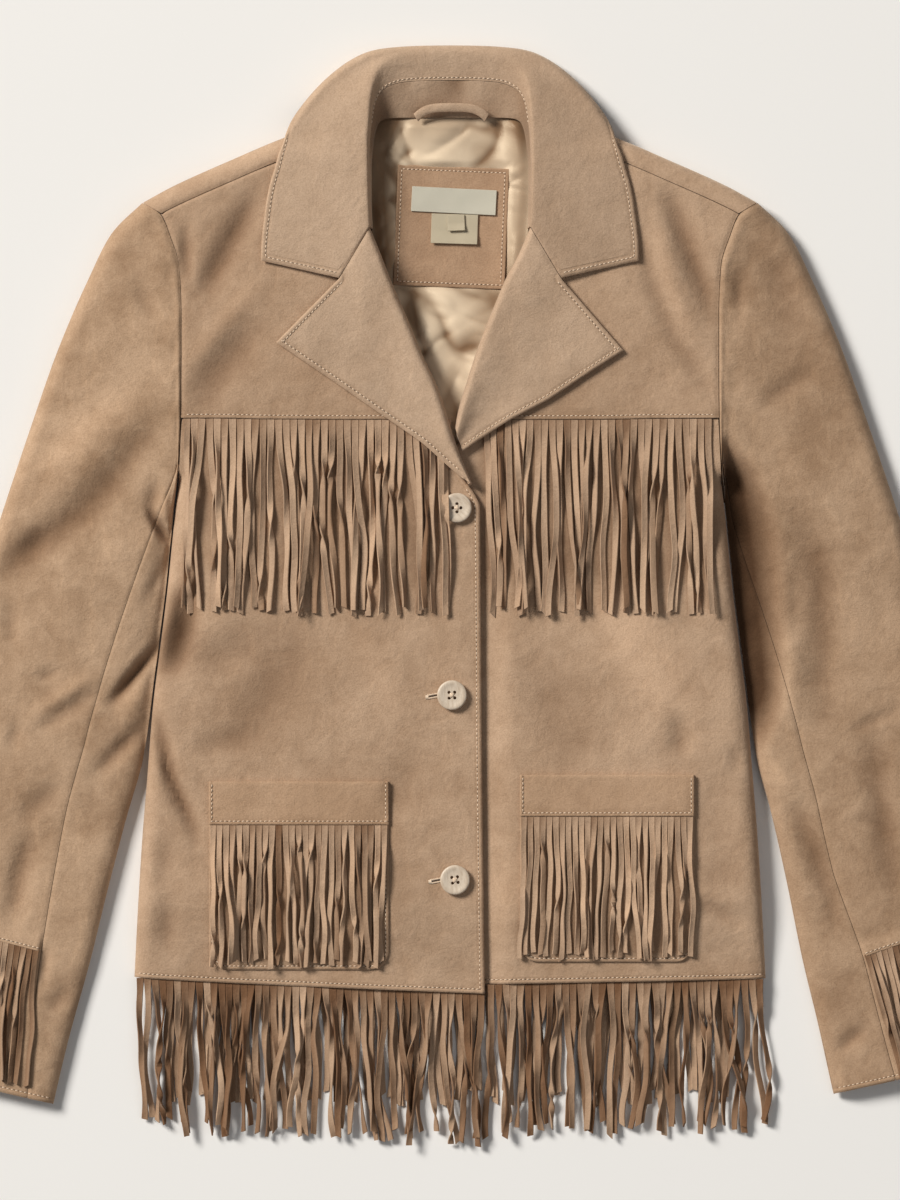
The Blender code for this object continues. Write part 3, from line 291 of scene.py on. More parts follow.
SLEEVE_CREASES = {
    RIGHT: [
        (12, -4.6, (213, 119), (255, 68), (292, 36), (317, 16)),
        (16, 3.3, (230, 138), (262, 105), (292, 78)), (7, -3.0, (290, 45), (312, 27)),
        (4, -7.0, (216, 59), (202, 36)), (5, -2.8, (211, 80), (216, 59)), (4, 2.0, (206, 70), (203, 52)),
        (5, -2.0, (202, 27), (218, -5)), (4.5, -6.9, (207, -34), (226, -57), (243, -78)),
        (8, 2.4, (216, -64), (237, -94)), (6, -3.6, (220, -95), (238, -112), (255, -130)),
        (8, -4.2, (303, -176), (310, -204), (315, -235)), (8, -2.5, (282, -139), (310, -162)),
        (6, -2.2, (317, -5), (315, -38)), (5, -2.2, (282, -56), (297, -61)),
        (6, -2.2, (296, -98), (255, -70)), (6, 1.7, (298, -86), (257, -59)),
        (5, -2.1, (315, -111), (312, -93)), (4, -2.1, (290, -254), (294, -282)),
        (7, -2.2, (273, -282), (287, -300)), (7, -2.2, (225, 225), (213, 197)),
        (10, -3.0, (335, -20), (352, -70)), (12, 2.2, (345, -110), (362, -170)),
        (9, -2.7, (350, -200), (368, -260)), (7, -2.2, (330, -290), (350, -320)),
    ],
    LEFT: [
        (12, -3.6, (252, 54), (266, 17), (268, -30), (272, -84)), (7, -1.5, (250, 16), (247, -26)),
        (6, -2.2, (224, 137), (261, 160)), (6, -1.8, (207, 234), (206, 193)),
        (12, -2.2, (233, 243), (247, 183)), (10, -3.0, (303, -102), (321, -217)),
        (8, -3.0, (247, -148), (266, -194), (280, -240)), (7, 1.8, (234, -120), (252, -153)),
        (5, -2.7, (280, -328), (298, -314)), (3, 0.7, (268, 77), (284, 41)),
        (3, -0.7, (252, 27), (303, 31)), (4, -1.4, (293, -162), (321, -171)),
        (4, -1.4, (289, -98), (321, -84)), (10, 2.4, (244, -30), (248, -90)),
        (10, -2.7, (330, 20), (345, -40)), (10, 2.1, (350, -120), (365, -190)),
        (7, -2.4, (335, -250), (352, -300)),
    ],
}
PRESSED_REACH = np.array([
    (-118, 4), (-84, 20), (-38, 27), (27, 29), (77, 24), (104, 13), (122, 5),
])  # y, and how wide the left sleeve dives there beside the body


def creases_at(creases, x, y):
    """Troughs and ridges: each follows a bent line and tapers towards both ends."""
    total = np.zeros(np.shape(x))
    for width, height, *line in creases:
        off, run = nearest(x, y, line)
        total = total + height * (0.3 + 0.7 * np.sin(math.pi * run) ** 0.7) * np.exp(-((off / width) ** 2))
    return total


def beside_body(side, x, y, fade=(-122, -70), across=(1.4, 0.5)):
    """Where the left sleeve dives beside the body, from 0 to 1. It ends softly between the two heights of
    fade, and between the two shares of its reach."""
    if side == RIGHT:
        return np.zeros(np.shape(x))
    reach = curve(PRESSED_REACH[:, 0], PRESSED_REACH[:, 1], y)
    return ease(*across, (x - side_x(y)) / reach) * ease(*fade, y) * ease(121, 78, y)


def pressed(side, x, y):
    """How far it is pressed down there."""
    return beside_body(side, x, y) * (0.5 + 0.32 * ease(-90, 30, y))


def front_height(side, x, y):
    """Outer height of the lower front. What lies on it adds to this."""
    x, y = np.asarray(x, float), np.asarray(y, float)
    crown = HEM_CROWN + (CROWN - HEM_CROWN) * ease(HEM_Y, HEM_Y + HEM_FADE, y)
    inwards = side_x(y) - x
    to_side = np.hypot(np.maximum(inwards, 0), np.maximum(0, y - UNDERARM_Y))
    to_shoulder = np.where(x > NECK_X, (shoulder_y(np.maximum(x, NECK_X)) - y) * 0.91, FAR)
    share = rounding(np.minimum(to_side, to_shoulder))
    height = crown * (0.5 + 0.5 * share)
    height = height + creases_at(BODY_CREASES[side], x, y) * share
    height = height + share * (0.8 * waves(side * x, y, 62, 3) + 0.45 * waves(side * x, y, 23, 4))
    if side == LEFT:
        height = height - EDGE_DIP * ease(46, 24, x) * ease(150, 103, y)
    return height


print("the right front lies", round(float(front_height(RIGHT, 100.0, 0.0)), 1), "mm high at its middle")

# %% [markdown]
# ## Suede
# Suede is the brushed flesh side of a skin: no gloss, a fine nap that lies lighter or darker where a hand
# has stroked it, cloudy patches where the skin took the dye unevenly, and a few pale scuffs. Every panel
# uses the same two effects, so each is a node group: the nap, and the stitched edge, with painted shade
# in the dent of its stitching, a darkening towards the edge and a paler worn rim. They read the object's
# own coordinates, so that nothing slides when the view changes. On top of them, the depth of a crease
# stored on the mesh paints shade into troughs and light onto ridges.

# %% The nap group
def set_inputs(node, values):
    """Each value goes to the input of that name or number: a socket is linked, anything else is set."""
    for name, value in values.items():
        if isinstance(value, bpy.types.NodeSocket):
            node.id_data.links.new(value, node.inputs[name])
        else:
            node.inputs[name].default_value = value


def add_node(tree, kind, inputs=(), **settings):
    node = tree.nodes.new(kind)
    for key, value in settings.items():
        setattr(node, key, value)
    set_inputs(node, dict(inputs))
    return node


def new_group(name, inputs):
    """A shader group that gives a colour and a height, with its input and output nodes."""
    group = bpy.data.node_groups.new(name, "ShaderNodeTree")
    for socket_name, kind, value in inputs:
        socket = group.interface.new_socket(socket_name, in_out="INPUT", socket_type=kind)
        socket.default_value = value
    for socket_name, kind in (("Colour", "NodeSocketColor"), ("Height", "NodeSocketFloat")):
        group.interface.new_socket(socket_name, in_out="OUTPUT", socket_type=kind)
    return group, group.nodes.new("NodeGroupInput"), group.nodes.new("NodeGroupOutput")


def object_place(tree):
    return add_node(tree, "ShaderNodeTexCoord").outputs["Object"]


def attribute(tree, name):
    return add_node(tree, "ShaderNodeAttribute", attribute_name=name).outputs["Fac"]


def noise(tree, place, scale, detail=2.0, rough=0.5, distortion=0.0):
    """A noise between 0 and 1 over a place in metres."""
    links = {"Vector": place, "Scale": scale, "Detail": detail, "Roughness": rough, "Distortion": distortion}
    return add_node(tree, "ShaderNodeTexNoise", links).outputs["Fac"]


def remap(tree, value, low, high, to_low=0.0, to_high=1.0):
    links = {"Value": value, "From Min": low, "From Max": high, "To Min": to_low, "To Max": to_high}
    return add_node(tree, "ShaderNodeMapRange", links).outputs["Result"]


def math_node(tree, operation, a, b=0.0):
    return add_node(tree, "ShaderNodeMath", {0: a, 1: b}, operation=operation).outputs[0]


def times(tree, a, b):
    return math_node(tree, "MULTIPLY", a, b)


def plus(tree, a, b):
    return math_node(tree, "ADD", a, b)


def mix_colour(tree, share, a, b, blend="MIX"):
    links = {0: share, 6: a, 7: b}
    return add_node(tree, "ShaderNodeMix", links, data_type="RGBA", blend_type=blend).outputs[2]


def toned(tree, share, colour, tint):
    """The colour multiplied by a tint, by a share of the full effect."""
    return mix_colour(tree, share, colour, (*tint, 1), "MULTIPLY")


def build_nap():
    inputs = [
        ("Colour", "NodeSocketColor", (0.45, 0.30, 0.19, 1)),
        ("Shadow", "NodeSocketColor", (0.30, 0.19, 0.12, 1)),
        ("Clouds", "NodeSocketFloat", 0.5),
        ("Strokes", "NodeSocketFloat", 0.3),
        ("Grain", "NodeSocketFloat", 0.3),
    ]
    group, given, out = new_group("suede nap", inputs)
    place = object_place(group)
    clouds = noise(group, place, 11.0, 3.0, 0.55, 0.6)
    patches = noise(group, place, 52.0, 4.0, 0.62, 0.3)
    mottle = noise(group, place, 150.0, 3.0, 0.6, 0.2)
    links = {"Vector": place, "Rotation": (0, 0, 0.9), "Scale": (1, 0.22, 1)}
    stroked = add_node(group, "ShaderNodeMapping", links).outputs[0]
    strokes = noise(group, stroked, 85.0, 3.0, 0.6, 1.2)
    grain = noise(group, place, 900.0, 2.0, 0.6)
    fibres = noise(group, place, 2600.0, 1.0, 0.5)
    broad = plus(group, times(group, clouds, 0.5), times(group, patches, 0.36))
    cloudy = remap(group, plus(group, broad, times(group, mottle, 0.14)), 0.60, 0.40)
    cloudy = times(group, cloudy, given.outputs["Clouds"])
    colour = mix_colour(group, cloudy, given.outputs["Colour"], given.outputs["Shadow"])
    scuff = times(group, remap(group, strokes, 0.56, 0.74), given.outputs["Strokes"])
    colour = toned(group, scuff, colour, (1.22, 1.21, 1.19))
    speck = plus(group, times(group, grain, 0.55), times(group, fibres, 0.45))
    dark = times(group, remap(group, speck, 0.57, 0.37), given.outputs["Grain"])
    height = plus(group, times(group, speck, 0.00036), times(group, patches, 0.0015))
    height = plus(group, height, times(group, mottle, 0.0004))
    set_inputs(out, {"Colour": toned(group, dark, colour, (0.68, 0.64, 0.60)), "Height": height})
    return group


nap = build_nap()
print("the nap group has", len(nap.nodes), "nodes")

# %% The stitched edge group
def build_stitched_edge():
    """Dented along the stitching, with painted shade in the dent, darker towards the edge, and a little paler
    and smoother on the very edge.
    """
    inputs = [
        ("Distance", "NodeSocketFloat", 60.0),
        ("Stitch line", "NodeSocketFloat", 4.0),
        ("Colour", "NodeSocketColor", (0.45, 0.30, 0.19, 1)),
        ("Strength", "NodeSocketFloat", 1.0),
    ]
    group, given, out = new_group("stitched edge", inputs)
    distance, strength = given.outputs["Distance"], given.outputs["Strength"]
    uneven = remap(group, noise(group, object_place(group), 160.0, 2.0, 0.6), 0.3, 0.7, 0.45, 1.0)
    off = math_node(group, "SUBTRACT", distance, given.outputs["Stitch line"])
    # painted shade in the dent along the stitching; the suede is also made darker towards the edge
    dent = times(group, remap(group, math_node(group, "ABSOLUTE", off), 1.7, 0.0), uneven)
    toward_edge = times(group, remap(group, distance, 9.0, 0.5, 0.0, 0.5), uneven)
    mark = times(group, math_node(group, "MAXIMUM", dent, toward_edge), strength)
    colour = toned(group, mark, given.outputs["Colour"], (0.84, 0.81, 0.78))
    rub = times(group, remap(group, distance, 1.1, 0.1, 0.0, 0.75), strength)
    height = times(group, times(group, dent, -0.00035), strength)
    set_inputs(out, {"Colour": toned(group, rub, colour, (1.14, 1.12, 1.10)), "Height": height})
    return group


stitched_edge = build_stitched_edge()
print("the stitched edge group has", len(stitched_edge.nodes), "nodes")

# %% [markdown]
# The suede comes in a few shades, because a jacket is cut from more than one skin and the pieces are
# brushed in different directions: the sleeves are a little greyer, the collar a little paler and the
# fringe, whose strands show their cut edges, a little warmer. One function makes each shade.

# %% The suedes
# tone tints each strand by its own tone and by painted shade and light on it; crease_mm paints shade into
# troughs, deeper below -4.2, and painted light onto ridges
SUEDE_TONES = [  # an attribute, the values between which it tells, and how it tints the colour
    ("tone", 0.0, -1.0, (0.66, 0.60, 0.55)), ("tone", -0.6, -1.6, (0.58, 0.48, 0.40)),
    ("tone", 0.0, 1.0, (1.22, 1.20, 1.17)), ("crease_mm", -0.2, -4.2, (0.62, 0.57, 0.53)),
    ("crease_mm", -4.2, -9.5, (0.30, 0.25, 0.21)), ("crease_mm", 0.1, 2.2, (1.14, 1.13, 1.12)),
]


def new_material(name):
    """A material, with its node tree and its shader."""
    made = bpy.data.materials.new(name)
    made.use_nodes = True
    return made, made.node_tree, made.node_tree.nodes["Principled BSDF"]


def raised(tree, height, strength=1.0, distance=1.0):
    """The normal of a surface with that height, in metres."""
    links = {"Height": height, "Strength": strength, "Distance": distance}
    return add_node(tree, "ShaderNodeBump", links).outputs["Normal"]


def suede(name, colour, shadow, clouds=0.55, strokes=0.3, grain=0.62, stitch_line=4.0, edge=1.0):
    """A suede, with its shadow colour, the strength of each unevenness, and how far its stitches lie in."""
    made, tree, shader = new_material(name)
    links = {"Colour": (*colour, 1), "Shadow": (*shadow, 1), "Clouds": clouds, "Strokes": strokes}
    base = add_node(tree, "ShaderNodeGroup", {**links, "Grain": grain}, node_tree=nap)
    finish, height = base.outputs["Colour"], base.outputs["Height"]
    for told_by, low, high, tint in SUEDE_TONES:
        finish = toned(tree, remap(tree, attribute(tree, told_by), low, high), finish, tint)
    if edge > 0:
        links = {"Distance": attribute(tree, "edge_mm"), "Stitch line": stitch_line}
        links = {**links, "Colour": finish, "Strength": edge}
        worn = add_node(tree, "ShaderNodeGroup", links, node_tree=stitched_edge)
        finish, height = worn.outputs["Colour"], plus(tree, height, worn.outputs["Height"])
    set_inputs(shader, {
        "Base Color": finish,
        "Normal": raised(tree, height, 0.9),
        "Roughness": 0.95,
        "Specular IOR Level": 0.12,
        "Sheen Weight": 0.35,
        "Sheen Roughness": 0.45,
        "Sheen Tint": (1.0, 0.86, 0.70, 1),
    })
    return made


BODY_SUEDE = suede("body suede", (0.548, 0.374, 0.246), (0.390, 0.248, 0.152), clouds=0.8, strokes=0.35)
YOKE_SUEDE = suede("yoke suede", (0.528, 0.358, 0.234), (0.380, 0.241, 0.147), clouds=0.8, stitch_line=3.4)
SLEEVE_SUEDE = suede("sleeve suede", (0.536, 0.362, 0.232), (0.360, 0.226, 0.134), clouds=0.9, strokes=0.5,
                     edge=0.6)
COLLAR_SUEDE = suede("collar suede", (0.562, 0.398, 0.272), (0.450, 0.306, 0.200), clouds=0.7)
PATCH_SUEDE = suede("patch suede", (0.490, 0.318, 0.200), (0.370, 0.228, 0.138), clouds=0.8, stitch_line=3.0)
BAND_SUEDE = suede("band suede", (0.530, 0.350, 0.222), (0.410, 0.258, 0.155), clouds=0.8, stitch_line=3.4)
FRINGE_SUEDE = suede("fringe suede", (0.520, 0.354, 0.234), (0.400, 0.259, 0.165), grain=0.5, edge=0.0)
print("suedes:", sorted(m.name for m in bpy.data.materials if "suede" in m.name))

# %% [markdown]
# ## Satin, labels, thread and buttons
# The lining is a satin, which is glossy along its ridges; nearly brown painted shade fills its troughs and
# its sides under the collar. The gloss comes from the wrinkles in the mesh, so the material only has to be
# smooth, with a little sheen and the very fine lines of its threads. The labels are woven tape, which is
# matt with a plain weave, and the buttons are pale horn with faint clouds and streaks. Sewing thread is a
# little paler than the suede.

# %% Satin and woven tape
def build_weave():
    """Threads crossing at right angles, as colour and height."""
    inputs = [
        ("Colour", "NodeSocketColor", (0.6, 0.5, 0.35, 1)),
        ("Threads a metre", "NodeSocketFloat", 1800.0),
        ("Depth", "NodeSocketFloat", 0.2),
    ]
    group, given, out = new_group("weave", inputs)
    parts = add_node(group, "ShaderNodeSeparateXYZ", {0: object_place(group)})
    turn = times(group, given.outputs["Threads a metre"], 2 * math.pi)
    warp, weft = [math_node(group, "SINE", times(group, parts.outputs[axis], turn)) for axis in "XY"]
    cross = times(group, warp, weft)
    shade = times(group, remap(group, cross, -1.0, 1.0), given.outputs["Depth"])
    height = times(group, times(group, cross, 0.00006), given.outputs["Depth"])
    colour = toned(group, shade, given.outputs["Colour"], (0.6, 0.55, 0.5))
    set_inputs(out, {"Colour": colour, "Height": height})
    return group


weave = build_weave()


def woven(name, colour, threads, depth, roughness, sheen=0.0, trough=None):
    """A woven cloth; trough is the colour painted as shade where it is creased."""
    made, tree, shader = new_material(name)
    links = {"Colour": (*colour, 1), "Threads a metre": threads, "Depth": depth}
    cloth = add_node(tree, "ShaderNodeGroup", links, node_tree=weave)
    finish = cloth.outputs["Colour"]
    # painted shade in the creases: the trough colour is mixed in where crease_mm is below 0
    if trough:
        creased = remap(tree, attribute(tree, "crease_mm"), 0.0, -1.0)
        finish = mix_colour(tree, creased, finish, (*trough, 1))
    set_inputs(shader, {"Base Color": finish, "Normal": raised(tree, cloth.outputs["Height"])})
    set_inputs(shader, {"Roughness": roughness, "Sheen Weight": sheen})
    return made


SATIN_CLOTH = woven("gold satin", (0.80, 0.635, 0.45), 2400.0, 0.25, 0.34, trough=(0.245, 0.146, 0.08))
gloss = {"Anisotropic": 0.35, "Specular Tint": (1.0, 0.86, 0.64, 1)}
set_inputs(SATIN_CLOTH.node_tree.nodes["Principled BSDF"], gloss)
TAPE = woven("woven tape", (0.68, 0.65, 0.53), 1300.0, 0.9, 0.8, 0.2)
TAB_TAPE = woven("tab tape", (0.61, 0.53, 0.375), 1300.0, 0.9, 0.8, 0.2)
print("weave group feeds", len([m for m in bpy.data.materials if m.use_nodes]), "materials so far")

# %% Thread and horn
THREAD, tree, shader = new_material("sewing thread")
dye = noise(tree, object_place(tree), 260.0, 2.0, 0.6)
dyed = mix_colour(tree, dye, (0.70, 0.52, 0.36, 1), (0.86, 0.69, 0.51, 1))
set_inputs(shader, {"Base Color": dyed, "Roughness": 0.7, "Sheen Weight": 0.3})

HORN, tree, shader = new_material("pale horn")
links = {"Vector": object_place(tree), "Rotation": (0, 0, 0.5), "Scale": (1, 0.3, 1)}
drawn = add_node(tree, "ShaderNodeMapping", links).outputs[0]
cloud = noise(tree, drawn, 210.0, 4.0, 0.6, 1.5)
fine = noise(tree, drawn, 900.0, 2.0, 0.6)
pale = mix_colour(tree, remap(tree, cloud, 0.35, 0.7), (0.70, 0.585, 0.455, 1), (0.53, 0.41, 0.295, 1))
streaked = mix_colour(tree, remap(tree, fine, 0.5, 0.75, 0.0, 0.35), pale, (0.40, 0.30, 0.21, 1))
rough = remap(tree, cloud, 0.3, 0.7, 0.34, 0.52)
set_inputs(shader, {"Base Color": streaked, "Roughness": rough, "Normal": raised(tree, fine, 0.12, 0.0003)})

# a dark material that paints the shade inside slits and needle holes, on small plugs set into the cloth
HOLE_SHADE, tree, shader = new_material("painted shade of a slit")
hole_noise = noise(tree, object_place(tree), 1500.0, 2.0, 0.6)
dark = mix_colour(tree, hole_noise, (0.035, 0.020, 0.012, 1), (0.10, 0.060, 0.036, 1))
set_inputs(shader, {"Base Color": dark, "Roughness": 0.95})
print("materials:", len(bpy.data.materials))

# %% [markdown]
# ## Floor, light and camera
# The jacket was laid on a large pale table and lit by one big soft light from the top left, so every
# edge throws a wide, soft shadow to the right and down. A large area light and a pale world give that.
# The camera looks straight down through a long lens, so nothing leans outwards.

# %% Stage
FLOOR, tree, shader = new_material("pale table")
pale = mix_colour(tree, noise(tree, object_place(tree), 4.0), (0.86, 0.838, 0.80, 1), (0.88, 0.858, 0.82, 1))
set_inputs(shader, {"Base Color": pale, "Roughness": 0.9})
FLOOR_REACH = 6000.0
corners = [(x * FLOOR_REACH, y * FLOOR_REACH, 0) for x, y in ((-1, -1), (1, -1), (1, 1), (-1, 1))]
floor = add_object("floor", corners, [(0, 1, 2, 3)], FLOOR)
floor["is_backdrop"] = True

WINDOW_HIGH, WINDOW_WIDE = 864.0, 648.0  # what the camera takes in, in mm
VIEW_CENTRE_Y = -4.3
CAMERA_HEIGHT, SENSOR = 6.0, 24.0
lens = bpy.data.cameras.new("camera")
lens.sensor_fit = "VERTICAL"
lens.sensor_height = SENSOR
lens.lens = SENSOR * CAMERA_HEIGHT / (WINDOW_HIGH * MM)
lens.clip_end = 60.0
camera = bpy.data.objects.new("camera", lens)
camera.location = (0, VIEW_CENTRE_Y * MM, CAMERA_HEIGHT + 0.014)
bpy.context.scene.collection.objects.link(camera)
bpy.context.scene.camera = camera


def add_light(name, place, aim, size, watts, colour):
    light = bpy.data.lights.new(name, "AREA")
    light.shape = "RECTANGLE"
    light.size, light.size_y = size
    light.energy = watts
    light.color = colour
    made = bpy.data.objects.new(name, light)
    made.location = place
    made.rotation_euler = (Vector(aim) - Vector(place)).to_track_quat("-Z", "Y").to_euler()
    bpy.context.scene.collection.objects.link(made)
    return made


add_light("key", (-9.44, 6.72, 8.96), (0, 0, 0), (4.3, 4.3), 2710.0, (1.0, 0.98, 0.95))
add_light("fill", (1.6, -1.0, 3.2), (0, 0, 0), (3.0, 3.0), 15.0, (0.95, 0.97, 1.0))
world = bpy.data.worlds.new("pale room")
world.use_nodes = True
world.node_tree.nodes["Background"].inputs["Color"].default_value = (0.96, 0.97, 1.0, 1)
world.node_tree.nodes["Background"].inputs["Strength"].default_value = 0.14
bpy.context.scene.world = world
bpy.context.scene.view_settings.view_transform = "Standard"
print("the camera sees", WINDOW_WIDE, "x", WINDOW_HIGH, "mm")

# %% [markdown]
# ## The fronts
# Each lower front runs from the buttoned edge out to the side, where it turns under in a round fold and
# meets the back. The grid's columns follow that section, and its rows run from the yoke's seam down to
# the slightly slanting hem. Along a sewn edge the two layers puff a little between the edge and the
# stitching, which is what makes a topstitched edge look sewn instead of cut out of card.

# %% Edges, seams and the fronts
HEM_STITCH = 3.2


def sewn_edge(distance, line=4.0, drop=0.9, puff=0.35, dent=0.35):
    """Height to add near a topstitched edge: a drop at the rim, a puff, and a dent at the stitches."""
    rim = -drop * (1 - np.clip(distance / 1.6, 0, 1)) ** 2
    swell = puff * np.clip(1 - ((distance - 0.5 * line) / (0.55 * line)) ** 2, 0, 1)
    return rim + swell - dent * np.exp(-(((distance - line) / 0.9) ** 2))


def seam_dip(distance, depth=0.8, wide=1.8):
    """Height to add where a panel turns down into a seam."""
    return -depth * np.exp(-((distance / wide) ** 2))


def hem_line(side, share):
    """The front's hem, from the side fold (0) to the front edge (1)."""
    outer, inner = FRONT_HEM[side]
    return outer + (inner - outer) * np.clip(share, 0, 1) ** 0.8


def add_front(side, rows=118, cols=62):
    top, span = YOKE_SEAM_Y - GAP, YOKE_SEAM_Y - GAP - HEM_Y
    arc = np.radians(np.linspace(-90, 78, 11))
    grid, edge = [], []
    for level in top - steps_along(span, rows):
        fall = (top - level) / span
        side_at, inner = float(side_x(level)), float(front_edge_x(side, level))
        across = FOLD_RADIUS * (1 - np.cos(arc))
        flat = steps_along(side_at - across[-1] - inner, cols, start=PLAIN)[1:]
        xs = np.concatenate([[side_at - UNDER_TURN], side_at - across, side_at - across[-1] - flat])
        hem = hem_line(side, (side_at - xs) / (side_at - inner))
        ys = level + (hem - HEM_Y) * fall ** 3
        zs = front_height(side, xs, ys)
        crown = HEM_CROWN + (CROWN - HEM_CROWN) * ease(HEM_Y, HEM_Y + HEM_FADE, level)
        under = crown / 2 * (1 + np.sin(arc[arc < 0]))
        zs[0], zs[1:1 + len(under)] = 0.0, under
        on_top = np.arange(len(xs)) > len(under)
        to_edge, to_hem = xs - inner, ys - hem
        zs = zs + np.where(on_top, sewn_edge(to_edge) + sewn_edge(to_hem, HEM_STITCH, 0.7), 0)
        grid.append(np.stack([side * xs, ys, zs], 1))
        edge.append(np.where(on_top, np.minimum(to_edge, to_hem + 4.0 - HEM_STITCH), FAR))
    grid, edge = np.array(grid), np.array(edge)
    open_above = grid[:-1, 0, 1] > UNDERARM_Y + 2
    skip = lambda r, c: open_above[r] & (c < 6)
    out, up = side * grid[..., 0], grid[..., 1]
    # painted shade and light from the creases, and painted shade behind the chest fringe, seen between its
    # strands
    behind = ease(-12, 26, up) * ease(17, 26, out) * ease(192, 184, out)
    crease = creases_at(BODY_CREASES[side], out, up) - SHADE_BEHIND_FRINGE * behind
    name = f"front_{NAMES[side]}_cloth"
    return add_shell(name, grid, BODY_SUEDE, SUEDE, side == RIGHT, skip, edge, crease=crease)


fronts = {side: add_front(side) for side in (RIGHT, LEFT)}

# %% [markdown]
# ## Yokes and back
# The yoke is the panel between the shoulder seam and the chest fringe, with its lower edge folded over
# the fringe's strip and topstitched. The back is one flat sheet under everything, which comes up over
# each shoulder to the shoulder seam. Both are grids again, between an outer and an inner edge.

# %% Yokes
YOKE = np.array([
    (208.0, 272.7, 68, 327), (200.9, 257, 64, 298), (194.7, 236, 63, 264),
    (193.2, 200, 47, 224), (193.2, 163, 26, 176), (193.6, YOKE_SEAM_Y, 11.5, YOKE_SEAM_Y),
])  # outer x, y and inner x, y, from the shoulder seam to the yoke seam
YOKE_STITCH = 2.7


def yoke_foot(side, x):
    """The yoke's lower edge waves a little, as a folded and stitched edge does."""
    return YOKE_SEAM_Y + 0.9 * waves(side * np.asarray(x, float), 0.0, 46, 61)


def add_yoke(side, rows=56, cols=58):
    length = 175.0
    across = steps_along(1.0, cols, EDGE_STEPS / 170, PLAIN)
    top = YOKE[0]
    grid, edge = [], []
    for down in steps_along(length, rows) / length:
        outer_x, outer_y, inner_x, inner_y = curve(range(len(YOKE)), YOKE, down * (len(YOKE) - 1))
        outer_x = armhole_x(outer_y) - GAP / 2
        top_xs, straight = top[0] + (top[2] - top[0]) * across, top[1] + (top[3] - top[1]) * across
        bend = (shoulder_y(top_xs) - SHOULDER_SEAM - straight) * (1 - down) ** 2
        xs, ys = outer_x + (inner_x - outer_x) * across, outer_y + (inner_y - outer_y) * across + bend
        ys = ys + (yoke_foot(side, xs) - YOKE_SEAM_Y) * down ** 6
        to_seam, to_arm, to_top = (1 - down) * length, across * abs(outer_x - inner_x), down * length
        zs = front_height(side, xs, ys) + LAYER + sewn_edge(to_seam, YOKE_STITCH, 0.6, 0.3)
        zs = zs + seam_dip(to_arm, 0.9, 2.0) + seam_dip(to_top, 0.7, 1.8)
        grid.append(np.stack([side * xs, ys, zs], 1))
        edge.append(np.full(len(xs), to_seam + 4.0 - YOKE_STITCH))
    grid = np.array(grid)
    # the creases are stored as painted shade in the troughs and painted light on the ridges
    crease = creases_at(BODY_CREASES[side], side * grid[..., 0], grid[..., 1])
    name = f"yoke_{NAMES[side]}_cloth"
    return add_shell(name, grid, YOKE_SUEDE, SUEDE, side == RIGHT, None, edge, 0.3, crease)


yokes = {side: add_yoke(side) for side in (RIGHT, LEFT)}

# %% Back
BACK_HEM_Y, BACK_NECK_Y = -266.0, 341.5
EASED, ARMHOLE_X = 150.0, 205.0  # beyond these x, the columns draw in to the side, or to the armhole


def over_shoulder(x, distance):
    """Where the back lies in front of the shoulder fold; its outermost points follow the armhole."""
    size = np.abs(x)
    size = np.where(size > ARMHOLE_X, 221.1 - 13.5 * distance / SHOULDER_SEAM, size)
    return np.copysign(size, x), shoulder_y(np.maximum(size, NECK_X)) - distance


def add_back(rows=84):
    half = np.concatenate([np.linspace(207.6, 68, 40), np.linspace(62, 2, 13)])
    xs = np.concatenate([-half, half[::-1]])
    size = np.abs(xs)
    to_fold = shoulder_y(np.maximum(size, NECK_X)) - FOLD_RADIUS
    top = np.where(size > NECK_X, to_fold, BACK_NECK_Y)
    grid = []
    for share in np.linspace(0, 1, rows):
        ys = BACK_HEM_Y + (top - BACK_HEM_Y) * share
        reach = np.minimum(side_x(ys) - np.where(ys < UNDERARM_Y + 1, UNDER_TURN + GAP, GAP), half[0])
        wide = np.where(size > EASED, EASED + (size - EASED) * (reach - EASED) / (half[0] - EASED), size)
        grid.append(np.stack([np.copysign(wide, xs), ys, np.zeros(len(xs))], 1))
    crown = CROWN + LAYER
    for angle in np.radians(np.linspace(-70, 90, 10)):
        x, y = over_shoulder(xs, FOLD_RADIUS * (1 - math.cos(angle)))
        grid.append(np.stack([x, y, np.full(len(x), crown / 2 * (1 + math.sin(angle)))], 1))
    for distance in (13.2, 14.4, 15.2, SHOULDER_SEAM - GAP / 2):
        x, y = over_shoulder(xs, distance)
        dip = seam_dip(np.full(len(x), SHOULDER_SEAM - distance), 0.7, 1.8)
        grid.append(np.stack([x, y, crown + dip], 1))
    middle = (size[:-1] < NECK_X) | (size[1:] < NECK_X)
    skip = lambda r, c: (r >= rows - 1) & middle[c]
    return add_shell("back_cloth", grid, BODY_SUEDE, SUEDE, True, skip)


back = add_back()

# %% [markdown]
# ## Sleeves
# A jacket sleeve is two long pieces: the top sleeve, which goes round the outer fold and ends at the
# forearm seam, and the under sleeve, which goes round the inner fold and lies beneath. Laid out, they
# form one flattened tube that swings away from the body. The rows of the table run from the armhole to
# the cuff, and a share between 0 and 1 runs from the outer fold to the inner one.

